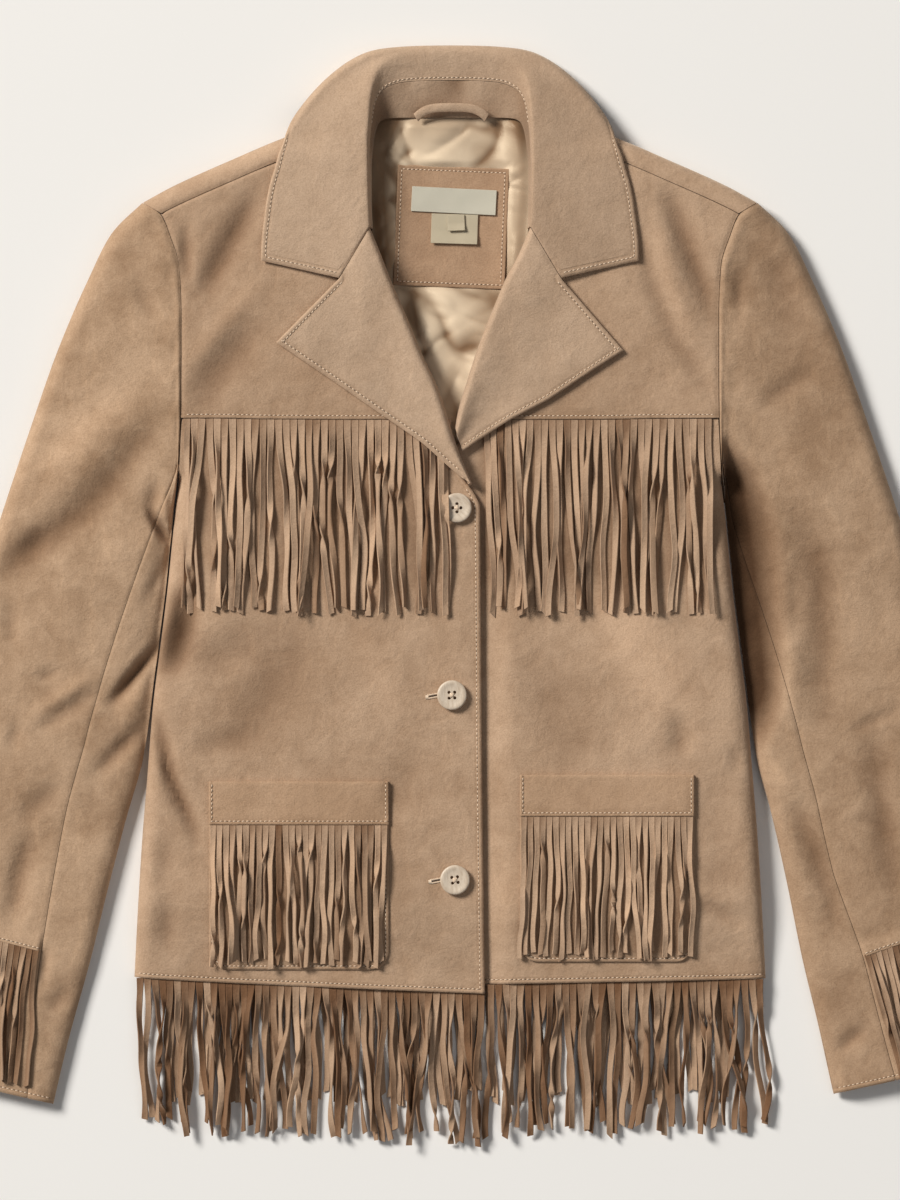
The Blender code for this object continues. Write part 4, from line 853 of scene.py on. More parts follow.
# %% Sleeve tables
Sleeve = namedtuple("Sleeve", "outer_x outer_y inner_x inner_y seam bow")
SLEEVE = np.array([
    (221.6, 281.6, 196.6, 81.0, 0.93, 1.0), (243.0, 261.0, 199.2, 58.0, 0.90, 0.72),
    (262.5, 223.0, 201.6, 35.0, 0.86, 0.40), (283.0, 175.0, 204.6, 5.0, 0.82, 0.16),
    (304.0, 115.0, 208.8, -28.0, 0.78, 0.05), (324.0, 55.0, 213.2, -62.0, 0.745, 0.0),
    (343.5, -6.0, 217.0, -92.0, 0.72, 0.0), (359.0, -64.0, 221.5, -120.0, 0.705, 0.0),
    (371.0, -120.0, 232.5, -160.0, 0.70, 0.0), (380.5, -175.0, 245.0, -211.0, 0.715, 0.0),
    (388.0, -230.0, 257.0, -264.0, 0.735, 0.0), (394.5, -284.0, 270.5, -316.0, 0.785, 0.0),
    (400.0, -337.0, 281.5, -363.8, 0.84, 0.0),
])
CUFF_MOVE = {RIGHT: (4.5, 3.6), LEFT: (-5.0, -3.6)}  # how far each cuff lies out and down
SEAM_OUT = {RIGHT: 0.0, LEFT: 0.208}  # how far out the forearm seam ends, as a share of the cuff
FRINGE_ROW = {RIGHT: (10.0, 0.0), LEFT: (10.06, 0.2)}  # at the outer fold, and how much further in
LAST_ROW = len(SLEEVE) - 1
ROW_LONG = 53.0


def sleeve_row(side, at):
    """The sleeve's row at a place counted in rows of the table, moved as this cuff lies."""
    outer_x, outer_y, inner_x, inner_y, seam, bow = curve(range(len(SLEEVE)), SLEEVE, at)
    out, down = CUFF_MOVE[side]
    moved, inner_moved = float(ease(5.5, 12.0, at)), float(ease(7.0, 12.0, at))
    seam = seam - SEAM_OUT[side] * (max(at - 9, 0) / 3) ** 1.4
    if side == LEFT:  # this sleeve lies a little turned, with its seam nearer to the body
        seam = seam + 0.067 * float(ease(0.5, 2, at) * ease(10.4, 8.1, at))
    return Sleeve(outer_x + out * moved / 2, outer_y - down * moved, inner_x + out * inner_moved,
                  inner_y - down * inner_moved, seam, bow)


def fringe_row(side, shares):
    """The row of the sleeve from which its fringe hangs, at shares of the width."""
    first, slope = FRINGE_ROW[side]
    return first + slope * shares


def sleeve_wide(row):
    return math.hypot(row.outer_x - row.inner_x, row.outer_y - row.inner_y)


def sleeve_crown(at):
    return CROWN + LAYER * float(ease(3, 0, at)) - (CROWN - CUFF_CROWN) * float(ease(2, 12, at))


def sleeve_plan(row, shares):
    """x and y across a row."""
    start, end = np.array([row.outer_x, row.outer_y]), np.array([row.inner_x, row.inner_y])
    straight = start + (end - start) * shares[:, None]
    seam = curve(arm_shares, ARMHOLE, shares)
    return straight + row.bow * (seam - ARMHOLE[0] - (ARMHOLE[-1] - ARMHOLE[0]) * shares[:, None])


def sleeve_height(side, x, y, level, bow, crown):
    """The height of the upper layer, with its creases. level rounds the folds, and bow the whole width."""
    arch = crown * (0.5 + 0.5 * level) - 0.14 * crown * (1 - bow)
    height = arch + creases_at(SLEEVE_CREASES[side], x, y) * level
    return height + level * (0.95 * waves(side * x, y, 48, 7) + 0.5 * waves(side * x + 0.6 * y, y, 19, 8))


print("the sleeve is", round(sleeve_wide(sleeve_row(RIGHT, 6))), "mm wide at the elbow")

# %% Two walls to a sleeve
# the second is the depth, as a crease, of the painted shadow that the body throws on the left sleeve
FOLD_STEP, SHADOW_BESIDE_BODY = 2.0, 10.5
NEAR_FOLD = np.array([-0.12, -0.07, -0.035, -0.012, 0.0, 0.012, 0.03, 0.06])  # rows beside the fringe's fold
SLEEVE_SHADE = {RIGHT: 0.35, LEFT: -0.8}  # the left sleeve is tinted darker and the right one lighter, through the crease tint


def sleeve_points(side, at, shares, below, folded=True):
    """Points across a row; below says which of them lie on the under layer. The top sleeve's edge is folded
    over the fringe's strip, so there the cloth steps down."""
    row = sleeve_row(side, at)
    xy = sleeve_plan(row, shares)
    wide, crown = sleeve_wide(row), sleeve_crown(at) * (1 - pressed(side, xy[:, 0], xy[:, 1]))
    to_inner = (1 - shares) * wide
    level = rounding(np.minimum(shares * wide, to_inner))
    beside = float(ease(0, 1.6, at) * ease(7.6, 5.6, at))  # along the body the cloth goes straight under it
    crown = crown * (1 - 0.2 * beside * ease(34, 0, to_inner))
    upper = np.maximum(level, 0.7 * beside * (to_inner < FOLD_RADIUS))
    seam_off = (shares - row.seam) * wide
    bow = np.sin(math.pi * shares) ** 0.8
    top = sleeve_height(side, xy[:, 0], xy[:, 1], upper, bow, crown)
    to_arm, to_cuff = at * 26.0, (LAST_ROW - at) * ROW_LONG
    arm = curve(arm_shares, ARMHOLE, shares)
    seam_top = front_height(side, arm[:, 0] - 1, arm[:, 1])
    seam_top = seam_top + LAYER * (0.5 + 0.5 * level) * ease(112, 128, arm[:, 1])
    top = top + (seam_top - top) * ease(20, 0, to_arm) + 0.5 * np.exp(-((to_arm - 3.5) / 2.5) ** 2) * level
    top = top + seam_dip(seam_off, 0.55, 1.5) + seam_dip(to_arm, 0.6, 1.3) + sewn_edge(to_cuff, 4.0, 0.8)
    top = top + 0.5 * np.exp(-((to_arm - 7) / 5) ** 2) * np.sin(shares * 46.0) * (0.3 + shares)
    if folded:
        to_fold = (at - fringe_row(side, shares)) * ROW_LONG
        step = FOLD_STEP * ease(-13, -1.5, to_fold) * ease(0.8, 0.0, to_fold)
        top = top + step * ease(-0.3, -2.6, seam_off) * level
    under = crown / 2 * (1 - level)
    return np.column_stack([side * xy[:, 0], xy[:, 1], np.where(below, under, top)])


def sleeve_crease(side, grid):
    """Creases for the colour of the suede: painted shade in the troughs, painted light on the ridges, a
    painted shadow of the body in the dip beside it, and each sleeve's own tint.
    """
    x, y = side * grid[..., 0], grid[..., 1]
    # painted shadow of the body on the sleeve beside it
    dark = SHADOW_BESIDE_BODY * beside_body(side, x, y, (-128, -66), (1.6, 0.2))
    return creases_at(SLEEVE_CREASES[side], x, y) - dark + SLEEVE_SHADE[side]


def add_sleeve(side, rows=240):
    arc = np.radians(np.linspace(90, 0, 8))
    near_fold = float(fringe_row(side, 0.5)) + NEAR_FOLD
    lengths = np.sort(np.concatenate([steps_along(620.0, rows) / 620.0 * LAST_ROW, near_fold]))
    top_grid, under_grid, top_edge, under_edge = [], [], [], []
    for at in lengths:
        row = sleeve_row(side, at)
        wide = sleeve_wide(row)
        gap, hind = (0.6 if at > 1 else 1.0) * GAP / wide, UNDER_TURN / wide
        turned = FOLD_RADIUS * (1 - np.cos(arc)) / wide
        flat = turned[0]
        across = steps_along(row.seam - gap - flat, 34, start=PLAIN, end=EDGE_STEPS / wide)[1:]
        corner = max(arm_shares[2], flat + 0.3 / wide)
        across = np.sort(np.append(flat + across, corner))
        shares = np.concatenate([[hind - gap], turned, turned[::-1][1:], across])
        below = np.arange(len(shares)) < len(turned)
        top_grid.append(sleeve_points(side, at, shares, below))
        top_edge.append(np.where(below, FAR, (LAST_ROW - at) * ROW_LONG))
        inner = 1 - flat - row.seam - gap
        across = steps_along(max(inner, 0.001), 16, start=EDGE_STEPS / wide, end=PLAIN)[:-1]
        beneath = np.linspace(1 - flat, hind + gap, 26)[1:]
        start = min(row.seam + gap, 1 - flat - 0.001)
        shares = np.concatenate([start + across, 1 - turned, 1 - turned[::-1][1:], beneath])
        below = np.arange(len(shares)) > len(across) + len(turned) - 1
        under_grid.append(sleeve_points(side, at, shares, below))
        under_edge.append(np.where(below, FAR, (LAST_ROW - at) * ROW_LONG))
    made = []
    for wall, grid, edge in (("top", top_grid, top_edge), ("under", under_grid, under_edge)):
        name, crease = f"sleeve_{wall}_{NAMES[side]}_cloth", sleeve_crease(side, np.array(grid))
        made.append(add_shell(name, grid, SLEEVE_SUEDE, SUEDE, side == RIGHT, None, edge, crease=crease))
    return made


sleeves = {side: add_sleeve(side) for side in (RIGHT, LEFT)}

# %% [markdown]
# ## Collar and lapels
# A tailored collar stands up from the neck seam, rolls over, and falls outwards as the leaf. Each row of
# its table is a section: where the roll is, which way the leaf leaves it, and how long the leaf is. Behind
# the neck the leaf folds under itself, because the laid collar is pressed flat there. The lapel is the
# front's own edge rolled back, so its rows run down the roll line and reach out to its pointed edge.

# %% Collar
Collar = namedtuple("Collar", "roll_x roll_y roll_z turn leaf run end_z seam_x seam_y seam_z dip")
COLLAR = np.array([
    (57.6, 264.2, 27.5, -17.4, 82.0, 200, 24.6, 55.5, 263, 12.5, 1.0),
    (58.2, 274.0, 28.0, -3.0, 75.5, 200, 24.8, 56.0, 274, 12.2, 0.45),
    (58.7, 286.0, 28.0, 9.0, 71.0, 200, 25.0, 56.3, 287, 12.0, 0.0),
    (59.2, 306.0, 28.0, 8.5, 65.0, 66.0, 25.0, 56.3, 306, 11.5, 0.0),
    (59.3, 324.0, 27.5, 8.0, 61.0, 56.0, 22.0, 55.0, 322, 10.5, 0.0),
    (58.2, 344.0, 26.5, 16.0, 60.0, 41.0, 21.0, 53.0, 334, 9.0, 0.0),
    (56.4, 362.0, 24.0, 34.0, 58.0, 24.0, 18.5, 50.0, 340, 7.6, 0.0),
    (50.5, 378.0, 19.5, 55.0, 56.0, 10.0, 16.0, 44.0, 342.0, 6.6, 0.0),
    (36.0, 387.0, 16.0, 78.0, 55.0, 2.0, 14.8, 32.0, 342.4, 6.0, 0.0),
    (18.0, 389.0, 14.5, 87.0, 55.0, 0.8, 14.2, 16.0, 342.4, 5.7, 0.0),
    (0.0, 389.5, 14.2, 90.0, 55.0, 0.5, 14.0, 0.0, 342.4, 5.6, 0.0),
])
COLLAR_NOTCH = (0.30, 79.9, 227.2)  # share of the leaf, x and y of the notch
COLLAR_FOLD, STAND_SHARE = 5.5, 0.58
COLLAR_STITCH = 3.3


def notch_offset(shares):
    """How far the collar's front end departs from a straight line, most at the notch."""
    at, x, y = COLLAR_NOTCH
    first = Collar(*COLLAR[0])
    turn = math.radians(first.turn)
    out = first.leaf * at
    straight = (first.roll_x + math.cos(turn) * out, first.roll_y + math.sin(turn) * out)
    rise = np.where(shares < at, shares / at, (1 - shares) / (1 - at))
    return rise[:, None] * (np.array([x, y]) - straight)


def stand_points(row, shares):
    seam, roll = np.array([row.seam_x, row.seam_y]), np.array([row.roll_x, row.roll_y])
    plan = seam + (roll - seam) * shares[:, None]
    return np.column_stack([plan, row.seam_z + (row.roll_z - row.seam_z) * shares ** 0.8])


def leaf_points(row, along):
    """Points along the leaf, by their distance from the roll."""
    turn = math.radians(row.turn)
    out = np.array([math.cos(turn), math.sin(turn)])
    half = row.end_z / 2
    arc = math.pi * math.sqrt((half ** 2 + COLLAR_FOLD ** 2) / 2)
    beyond = np.clip((along - row.run) / arc, 0, 1)
    reach = np.minimum(along, row.run) + COLLAR_FOLD * np.sin(math.pi * beyond)
    reach = reach - np.maximum(along - row.run - arc, 0)
    drop = ease(0, 1, along / min(row.run, row.leaf))
    level = row.roll_z + (row.end_z - row.roll_z) * drop
    height = np.where(along > row.run, half * (1 + np.cos(math.pi * beyond)), level)
    plan = np.array([row.roll_x, row.roll_y]) + reach[:, None] * out
    plan = plan + row.dip * notch_offset(along / row.leaf)
    return np.column_stack([plan, height])


def soften(points, first, last, passes):
    """Rounds a run of points across each row by averaging neighbours."""
    for _ in range(passes):
        points[:, first:last] += 0.5 * ((points[:, first - 1:last - 1] + points[:, first + 1:last + 1]) / 2
                                        - points[:, first:last])
    return points


def add_collar(stations=150):
    places = steps_along(240.0, stations // 2, EDGE_STEPS, PLAIN) / 240.0 * (len(COLLAR) - 1)
    rows = [(RIGHT, Collar(*r)) for r in curve(range(len(COLLAR)), COLLAR, places)]
    rows += [(LEFT, row) for _, row in rows[-2::-1]]
    leaf, stand, leaf_edge = [], [], []
    ends = np.minimum(np.arange(len(rows)), np.arange(len(rows))[::-1])
    from_end = np.concatenate([EDGE_STEPS, [FAR] * len(rows)])[ends]
    for (sign, row), end in zip(rows, from_end):
        notch = COLLAR_NOTCH[0] * row.leaf
        start = steps_along(notch, 11, start=np.array((0.0, 0.8, 1.7, 2.8, 4.2)), end=PLAIN)
        along = np.concatenate([start[:-1], notch + steps_along(row.leaf - notch, 25, start=PLAIN)])
        shape = np.array([sign, 1, 1])
        up = stand_points(row, np.linspace(STAND_SHARE + 0.01, 1.0, 9)[:-1])
        over = leaf_points(row, along)
        before_notch = np.maximum(notch - along, 0) * row.dip
        to_edge = np.minimum(row.leaf - along, np.hypot(end, before_notch))
        over[:, 2] += seam_dip(end, 0.7, 1.7) * ease(0, 6, before_notch)
        open_leaf = float(ease(-26, 0, row.run - row.leaf))
        over[:, 2] += sewn_edge(to_edge, COLLAR_STITCH, 0.8, 0.35, 0.3) * open_leaf
        soft = ease(0, 12, along) * (along < row.run)
        over[:, 2] += 0.5 * waves(sign * over[:, 0], over[:, 1], 34, 11) * soft
        leaf.append(np.concatenate([up, over]) * shape)
        leaf_edge.append(np.concatenate([np.full(len(up), FAR), to_edge]))
        low = stand_points(row, np.linspace(0.02, STAND_SHARE, 16))
        low[:, 2] += 0.9 * waves(sign * low[:, 0], 0.3 * low[:, 1], 13, 12)
        stand.append(low * shape)
    leaf = soften(np.array(leaf), 5, 13, 6)
    stand = np.array(stand)
    # painted shade on the collar's leaf, darker towards +x, where it slopes away from the light
    leaf_shade = -1.5 * ease(-30, 75, leaf[..., 0])
    collar = add_shell("collar_cloth", leaf, COLLAR_SUEDE, DOUBLE, True, None, leaf_edge, 0.6, leaf_shade)
    # painted shade on the stand behind the roll, made darker and lighter along its gathers
    stand_shade = -3.0 + 3.4 * waves(stand[..., 0], 0.3 * stand[..., 1], 13, 12)  # gathered by the neck seam
    return collar, add_shell("collar_stand_cloth", stand, COLLAR_SUEDE, SUEDE, True, crease=stand_shade)


collar, collar_stand = add_collar()

# %% Lapels
LAPEL_ROLL_LINE = {  # x, y from the gorge down
    RIGHT: np.array([(57.6, 263.5), (50.0, 245.0), (42.8, 226.4), (31.0, 199.0), (20.2, 172.8), (8.0, 146.0),
                     (-4.8, 106.6), (-16.0, 79.0)]),
    LEFT: np.array([(57.6, 263.5), (49.0, 243.5), (39.9, 226.4), (30.5, 204.0), (21.3, 181.0), (12.5, 154.0),
                    (6.2, 133.0), (3.6, 120.0)]),
}
LAPEL_EDGE_LINE = {  # x, y from the point down
    RIGHT: np.array([(125.0, 181.0), (86.0, 154.5), (47.0, 127.4), (20.2, 108.7), (1.5, 92.0), (-8.0, 84.0)]),
    LEFT: np.array([
        (124.6, 175.0), (97.5, 157.4), (70.8, 139.7), (42.0, 124.5), (22.0, 111.5), (9.0, 102.5),
    ]),
}
NOTCH = np.array([79.6, 226.9])
LAPEL_FOLD, LAPEL_LIFT, LAPEL_ROLL, LAPEL_TUCK = 5.0, 6.2, 9.0, 13.0
LAPEL_STITCH = 3.3


def along_line(line, share, smooth=1.0):
    """The point at a share of a line's length; smooth blends from straight pieces to a curve."""
    run = np.concatenate([[0], np.cumsum(np.hypot(*np.diff(line, axis=0).T))])
    at = np.asarray(share) * run[-1]
    straight = np.stack([np.interp(at, run, line[:, 0]), np.interp(at, run, line[:, 1])], -1)
    return smooth * curve(run, line, at) + (1 - smooth) * straight


def lapel_outline(side, count=70):
    """From the notch out to the point and down the free edge."""
    return np.concatenate([[NOTCH], along_line(LAPEL_EDGE_LINE[side], np.linspace(0, 1, count), 0.5)])


def notch_pull(roll, edge, shares):
    """The lapel's top row runs along the gorge to the notch and then to the point, so it bends there."""
    at = np.linalg.norm(NOTCH - roll) / np.linalg.norm(edge - roll)
    bend = NOTCH - (roll + (edge - roll) * at)
    return np.where(shares < at, shares / at, (1 - shares) / (1 - at))[:, None] * bend


def add_lapel(side):
    top_roll, top_edge = LAPEL_ROLL_LINE[side][0], LAPEL_EDGE_LINE[side][0]
    grid, inwards = [], []
    for place in steps_along(190.0, 56) / 190.0:
        roll = along_line(LAPEL_ROLL_LINE[side], place)
        edge = along_line(LAPEL_EDGE_LINE[side], place, 0.5)
        wide = float(np.hypot(*(edge - roll)))
        out = (edge - roll) / wide
        slim = min(1.0, wide / 22)
        turn, under = LAPEL_FOLD * slim, -SUEDE - GAP - DOUBLE
        tuck = np.linspace(min(LAPEL_TUCK, wide * 0.75), turn, 4)
        high = LAPEL_ROLL * slim + LAPEL_LIFT * (1 - slim)
        base = float(front_height(side, *(roll + out * turn)))
        angles = np.radians(np.linspace(-70, 75, 9))
        far = steps_along(wide - turn, 34, start=PLAIN)
        reach = np.concatenate([tuck, turn * (1 - np.cos(angles)), turn + far])
        plan = roll + out * reach[:, None] + (1 - place) ** 5 * notch_pull(top_roll, top_edge, reach / wide)
        lift = high + (LAPEL_LIFT - high) * ease(0, 0.6, far / max(wide - turn, 0.1))
        beneath = front_height(side, *plan[:len(tuck)].T) + under
        rolled = base + (high + under) / 2 + (high - under) / 2 * np.sin(angles)
        over = front_height(side, *plan[-len(far):].T) + lift
        grid.append(np.column_stack([plan, np.concatenate([beneath, rolled, over])]))
        inwards.append(np.concatenate([np.zeros(len(reach) - len(far)), far]))
    grid, inwards = np.array(grid), np.array(inwards)
    x, y, on_top = grid[..., 0], grid[..., 1], inwards > 0
    edge = np.where(on_top, from_line(x, y, lapel_outline(side)), FAR)
    gorge = from_line(x, y, [top_roll, NOTCH])
    soft = ease(0, 12, inwards) * ease(1, 8, edge)
    grid[..., 2] += np.where(edge < 30, sewn_edge(edge, LAPEL_STITCH, 0.8, 0.3, 0.3), 0)
    grid[..., 2] += seam_dip(gorge, 0.7, 1.7) * ease(2, 9, edge)
    grid[..., 2] += (0.5 * waves(side * x, y, 30, 13) + 0.35 * waves(side * x, y, 13, 15)) * soft
    grid[..., 0] *= side
    name = f"lapel_{NAMES[side]}_cloth"
    return add_shell(name, grid, COLLAR_SUEDE, DOUBLE, side == LEFT, None, edge, edge_round=0.6)


lapels = {side: add_lapel(side) for side in (RIGHT, LEFT)}

# %% [markdown]
# ## Inside the neck
# Between the lapels one sees the satin lining of the back, which is cut loose and so lies in small
# sharp wrinkles. Those are ridges of noise, stretched along a direction that turns slowly. On the lining
# lie a suede patch, a blank woven label and two blank tabs, and a suede strap to hang the jacket by.

# %% Lining
LINING = np.array([
    (100, 16.0, 7.5), (137, 24.0, 9.0), (173, 34.0, 10.0), (226, 50.0, 10.5), (262, 56.5, 9.8),
    (300, 58.5, 9.4), (322, 57.5, 8.0), (334, 56.0, 6.2), (340, 54.0, 4.5), (345.0, 50.0, 3.7),
])  # y, half width, height of the edge
LINING_Z, LINING_TOP = 3.2, 345.0


def lining_height(x, y):
    half = curve(LINING[:, 0], LINING[:, 1], y)
    rim = curve(LINING[:, 0], LINING[:, 2], y)
    return LINING_Z + (rim - LINING_Z) * np.clip(np.abs(x) / half, 0, 1) ** 4


SATIN_FOLDS = [  # angle, width, length, share of the height and seed
    (0.45, 21.0, 46.0, 1.0, 22), (-0.8, 13.0, 30.0, 0.5, 23), (1.2, 8.0, 22.0, 0.24, 24),
]


def wrinkles(x, y):
    """Folds of loose satin, from 0 in the troughs up to about 1: rounded, with pinched lines between."""
    x, y = x + 7 * waves(x, y, 36, 21), y + 7 * waves(x, y, 36, 25)
    total = 0.0
    for angle, short, long, share, seed in SATIN_FOLDS:
        across = x * math.cos(angle) + y * math.sin(angle)
        along = (y * math.cos(angle) - x * math.sin(angle)) * short / long
        total = total + share * np.hypot(waves(across, along, short, seed), 0.08)
    return total


def add_lining(rows=190, cols=90):
    grid, crease = [], []
    for y in np.linspace(LINING_TOP, 100, rows):
        half = float(curve(LINING[:, 0], LINING[:, 1], y))
        xs = np.linspace(-half, half, cols)
        soft = ease(0, 9, half - np.abs(xs)) * (0.3 + 0.7 * ease(0, 9, LINING_TOP - y))
        under_patch = ease(-4, 5, np.maximum(np.abs(xs - 0.9) - 40, np.abs(y - 264.6) - 43.5))
        loose = 4.2 * (0.06 + 0.94 * under_patch)
        folds = wrinkles(xs, np.full(cols, y))
        zs = lining_height(xs, y) + soft * loose * (folds - 0.15)
        grid.append(np.column_stack([xs, np.full(cols, y), np.maximum(zs, 2.75)]))
        # painted shadow of the collar on the lining's sides, stronger at -x, and below the neck's top edge;
        # with it, painted shade in the wrinkles' troughs
        shaded = np.where(xs < 0, 1.3, 0.7) * ease(25, 4, half - np.abs(xs)) * ease(190, 252, y)
        shaded = shaded + 0.5 * ease(34, 4, LINING_TOP - y)
        crease.append(-np.maximum(np.clip(1.42 - folds / 0.62, 0, 1) ** 1.4, shaded))
    return add_shell("lining_cloth", grid, SATIN_CLOTH, SATIN, True, crease=crease)


lining = add_lining()

# %% Patch, labels and strap
Tag = namedtuple("Tag", "x y width height tilt lift thick")
ON_PATCH = 3 * GAP + SUEDE + SATIN  # how high a label lies on the patch
TAGS = {
    "label_patch": (Tag(0.9, 264.6, 80.5, 87.0, -2.3, 2 * GAP + SUEDE, SUEDE), PATCH_SUEDE, "suede"),
    "main_label": (Tag(2.8, 283.5, 61.0, 18.0, -2.9, ON_PATCH, SATIN), TAPE, "label_cloth"),
    "care_tab": (Tag(3.2, 263.2, 33.5, 21.4, -1.8, ON_PATCH, SATIN), TAB_TAPE, "label_cloth"),
    "size_tab": (Tag(4.4, 267.6, 12.4, 11.4, 2.0, ON_PATCH + GAP + SATIN, SATIN), TAB_TAPE, "label_cloth"),
}


def tag_place(tag, across, up):
    turn = math.radians(tag.tilt)
    c, s = math.cos(turn), math.sin(turn)
    return tag.x + across * c - up * s, tag.y + across * s + up * c


def add_tag(name):
    tag, material, slot = TAGS[name]
    across = steps_along(tag.width, max(6, int(tag.width / 2.5))) - tag.width / 2
    ups = tag.height / 2 - steps_along(tag.height, max(6, int(tag.height / 2.5)))
    grid, edge = [], []
    for up in ups:
        x, y = tag_place(tag, across, up)
        to_edge = np.minimum(tag.width / 2 - np.abs(across), tag.height / 2 - abs(up))
        is_patch = name == "label_patch"
        curl = 1.6 * ease(0.0, -0.6, up / tag.height) if "tab" in name else 0.3
        bow = sewn_edge(to_edge, 3.0, 0.6, 0.2, 0.25) if is_patch else curl + 0.3 * waves(x, y, 11, 31)
        grid.append(np.column_stack([x, y, lining_height(x, y) + tag.lift + bow + 0.3 * waves(x, y, 24, 32)]))
        edge.append(to_edge + (1.0 if is_patch else FAR))
    made = add_shell(f"{name}_cloth", grid, material, tag.thick, True, None, edge, edge_round=0.3)
    return dress(made, name, slot=slot, rests_on=["lining"])


tags = {name: add_tag(name) for name in TAGS}


def add_strap(cols=60):
    """A narrow strap of doubled suede; its rounded section is a row of points, and its path an arch."""
    wide, reach, rise = 5.0, 24.5, 7.0
    grid = []
    for share in np.linspace(-1, 1, cols):
        arch = 1 - share ** 4
        x, y = reach * share + 1.0, 341.0 + rise * arch
        lean = math.atan2(-4 * share ** 3 * rise, reach) * 0.55
        steps = np.linspace(0, 1, 9)
        grid.append(np.column_stack([x - wide * steps * math.sin(lean), y + wide * steps * math.cos(lean),
                                     9.6 + 2.0 * arch + 1.2 * steps + 0.7 * np.sin(math.pi * steps) ** 0.5]))
    return add_shell("hanger_strap", grid, COLLAR_SUEDE, SUEDE, edge_round=0.5)


dress(add_strap(), "hanger_loop", sheet=False)

# %% [markdown]
# ## Pockets and buttons
# A patch pocket is a panel laid on the front with its lower corners rounded. Its mouth is covered by a
# band, stitched at the sides and along its foot, from which the pocket's own fringe hangs. Both follow the
# front's height, one layer and two layers up. The buttons are turned discs with a worn rim and four holes,
# drilled with a Boolean, and each comes out of a keyhole buttonhole bound with thread.

# %% Pockets
Pocket = namedtuple("Pocket", "outer_x inner_x top_y band_y bottom_y corner")
POCKETS = {
    RIGHT: Pocket(173.5, 44.0, -134.8, -166.0, -270.5, 14.0),
    LEFT: Pocket(175.8, 50.2, -130.0, -160.0, -265.0, 14.0),
}
POCKET_STITCH = 3.0


def add_pocket_panel(name, side, top_y, bottom_y, corner, lift, material, line):
    pocket = POCKETS[side]
    wide = pocket.outer_x - pocket.inner_x
    across = steps_along(wide, int(wide / 3.2))
    grid, edge, crease = [], [], []
    for down in steps_along(top_y - bottom_y, int((top_y - bottom_y) / 3.2)):
        y = top_y - down
        low = np.clip((bottom_y + corner - y) / max(corner, 0.1), 0, 1)
        inset = corner * (1 - math.sqrt(max(0.0, 1 - low * low))) * 0.94
        xs = pocket.outer_x - inset - across * (1 - 2 * inset / wide)
        to_side = np.minimum(xs - pocket.inner_x - inset, pocket.outer_x - inset - xs)
        to_edge = np.minimum(to_side, y - bottom_y)
        zs = front_height(side, xs, np.full(len(xs), y)) + lift + sewn_edge(to_edge, line, 0.6, 0.3)
        zs = zs + sewn_edge(np.full(len(xs), down), 0.1, 0.5, 0.0, 0.0)
        grid.append(np.column_stack([side * xs, np.full(len(xs), y), zs]))
        edge.append(to_edge + 4.0 - line)
        # painted shade on the pocket behind its fringe, seen between its strands
        behind = ease(3.5, 8, to_edge) * ease(pocket.band_y + 9, pocket.band_y - 9, y)
        crease.append(-SHADE_BEHIND_FRINGE * behind)
    return add_shell(name, grid, material, SUEDE, side == RIGHT, None, edge, crease=crease)


def add_pocket(side):
    pocket, name = POCKETS[side], NAMES[side]
    base = add_pocket_panel(f"pocket_{name}_cloth", side, pocket.top_y, pocket.bottom_y, pocket.corner,
                            LAYER, BODY_SUEDE, POCKET_STITCH)
    band = add_pocket_panel(f"pocket_band_{name}_cloth", side, pocket.top_y, pocket.band_y, 0.0,
                            2 * LAYER, BAND_SUEDE, POCKET_STITCH)
    return base, band


pockets = {side: add_pocket(side) for side in (RIGHT, LEFT)}

# %% Buttons
BUTTONS = {  # x, y and turn
    "top": (5.0, 62.0, 0.785), "middle": (1.4, -72.7, 0.03), "bottom": (3.6, -205.6, 0.12),
}
BUTTON_LIFT, HOLE_RADIUS, HOLE_OFF = 1.6, 1.15, 2.0
BUTTON_PROFILE = [  # radius and height, from the middle of the face, over the rim, to the middle of the back
    (0.0, 2.45), (2.2, 2.42), (4.6, 2.42), (6.4, 2.55), (7.4, 2.78), (8.4, 2.98), (9.3, 3.0), (9.95, 2.86),
    (10.45, 2.5), (10.7, 2.0), (10.6, 1.2), (10.1, 0.5), (9.0, 0.1), (6.0, 0.0), (0.0, 0.0),
]


def turned(profile, segments, uneven=0.0, seed=0):
    """Vertices and faces of a turned shape; uneven makes its face slightly wavy, as worn horn is."""
    vertices, faces, rings = [], [], []
    for radius, height in profile:
        if radius == 0:
            rings.append([len(vertices)] * segments)
            vertices.append((0, 0, height))
            continue
        rings.append(list(range(len(vertices), len(vertices) + segments)))
        for i in range(segments):
            angle = 2 * math.pi * i / segments
            x, y = radius * math.cos(angle), radius * math.sin(angle)
            vertices.append((x, y, height + uneven * float(waves(x, y, 3.4, seed)) * (height > 1.5)))
    for upper, lower in zip(rings, rings[1:]):
        for i in range(segments):
            j = (i + 1) % segments
            faces.append(list(dict.fromkeys([upper[i], lower[i], lower[j], upper[j]])))
    return vertices, faces


def apply_modifiers(piece):
    """Leaves the piece with the mesh that its modifiers give."""
    bpy.context.view_layer.update()
    evaluated = piece.evaluated_get(bpy.context.evaluated_depsgraph_get())
    mesh = bpy.data.meshes.new_from_object(evaluated)
    piece.modifiers.clear()
    piece.data = mesh


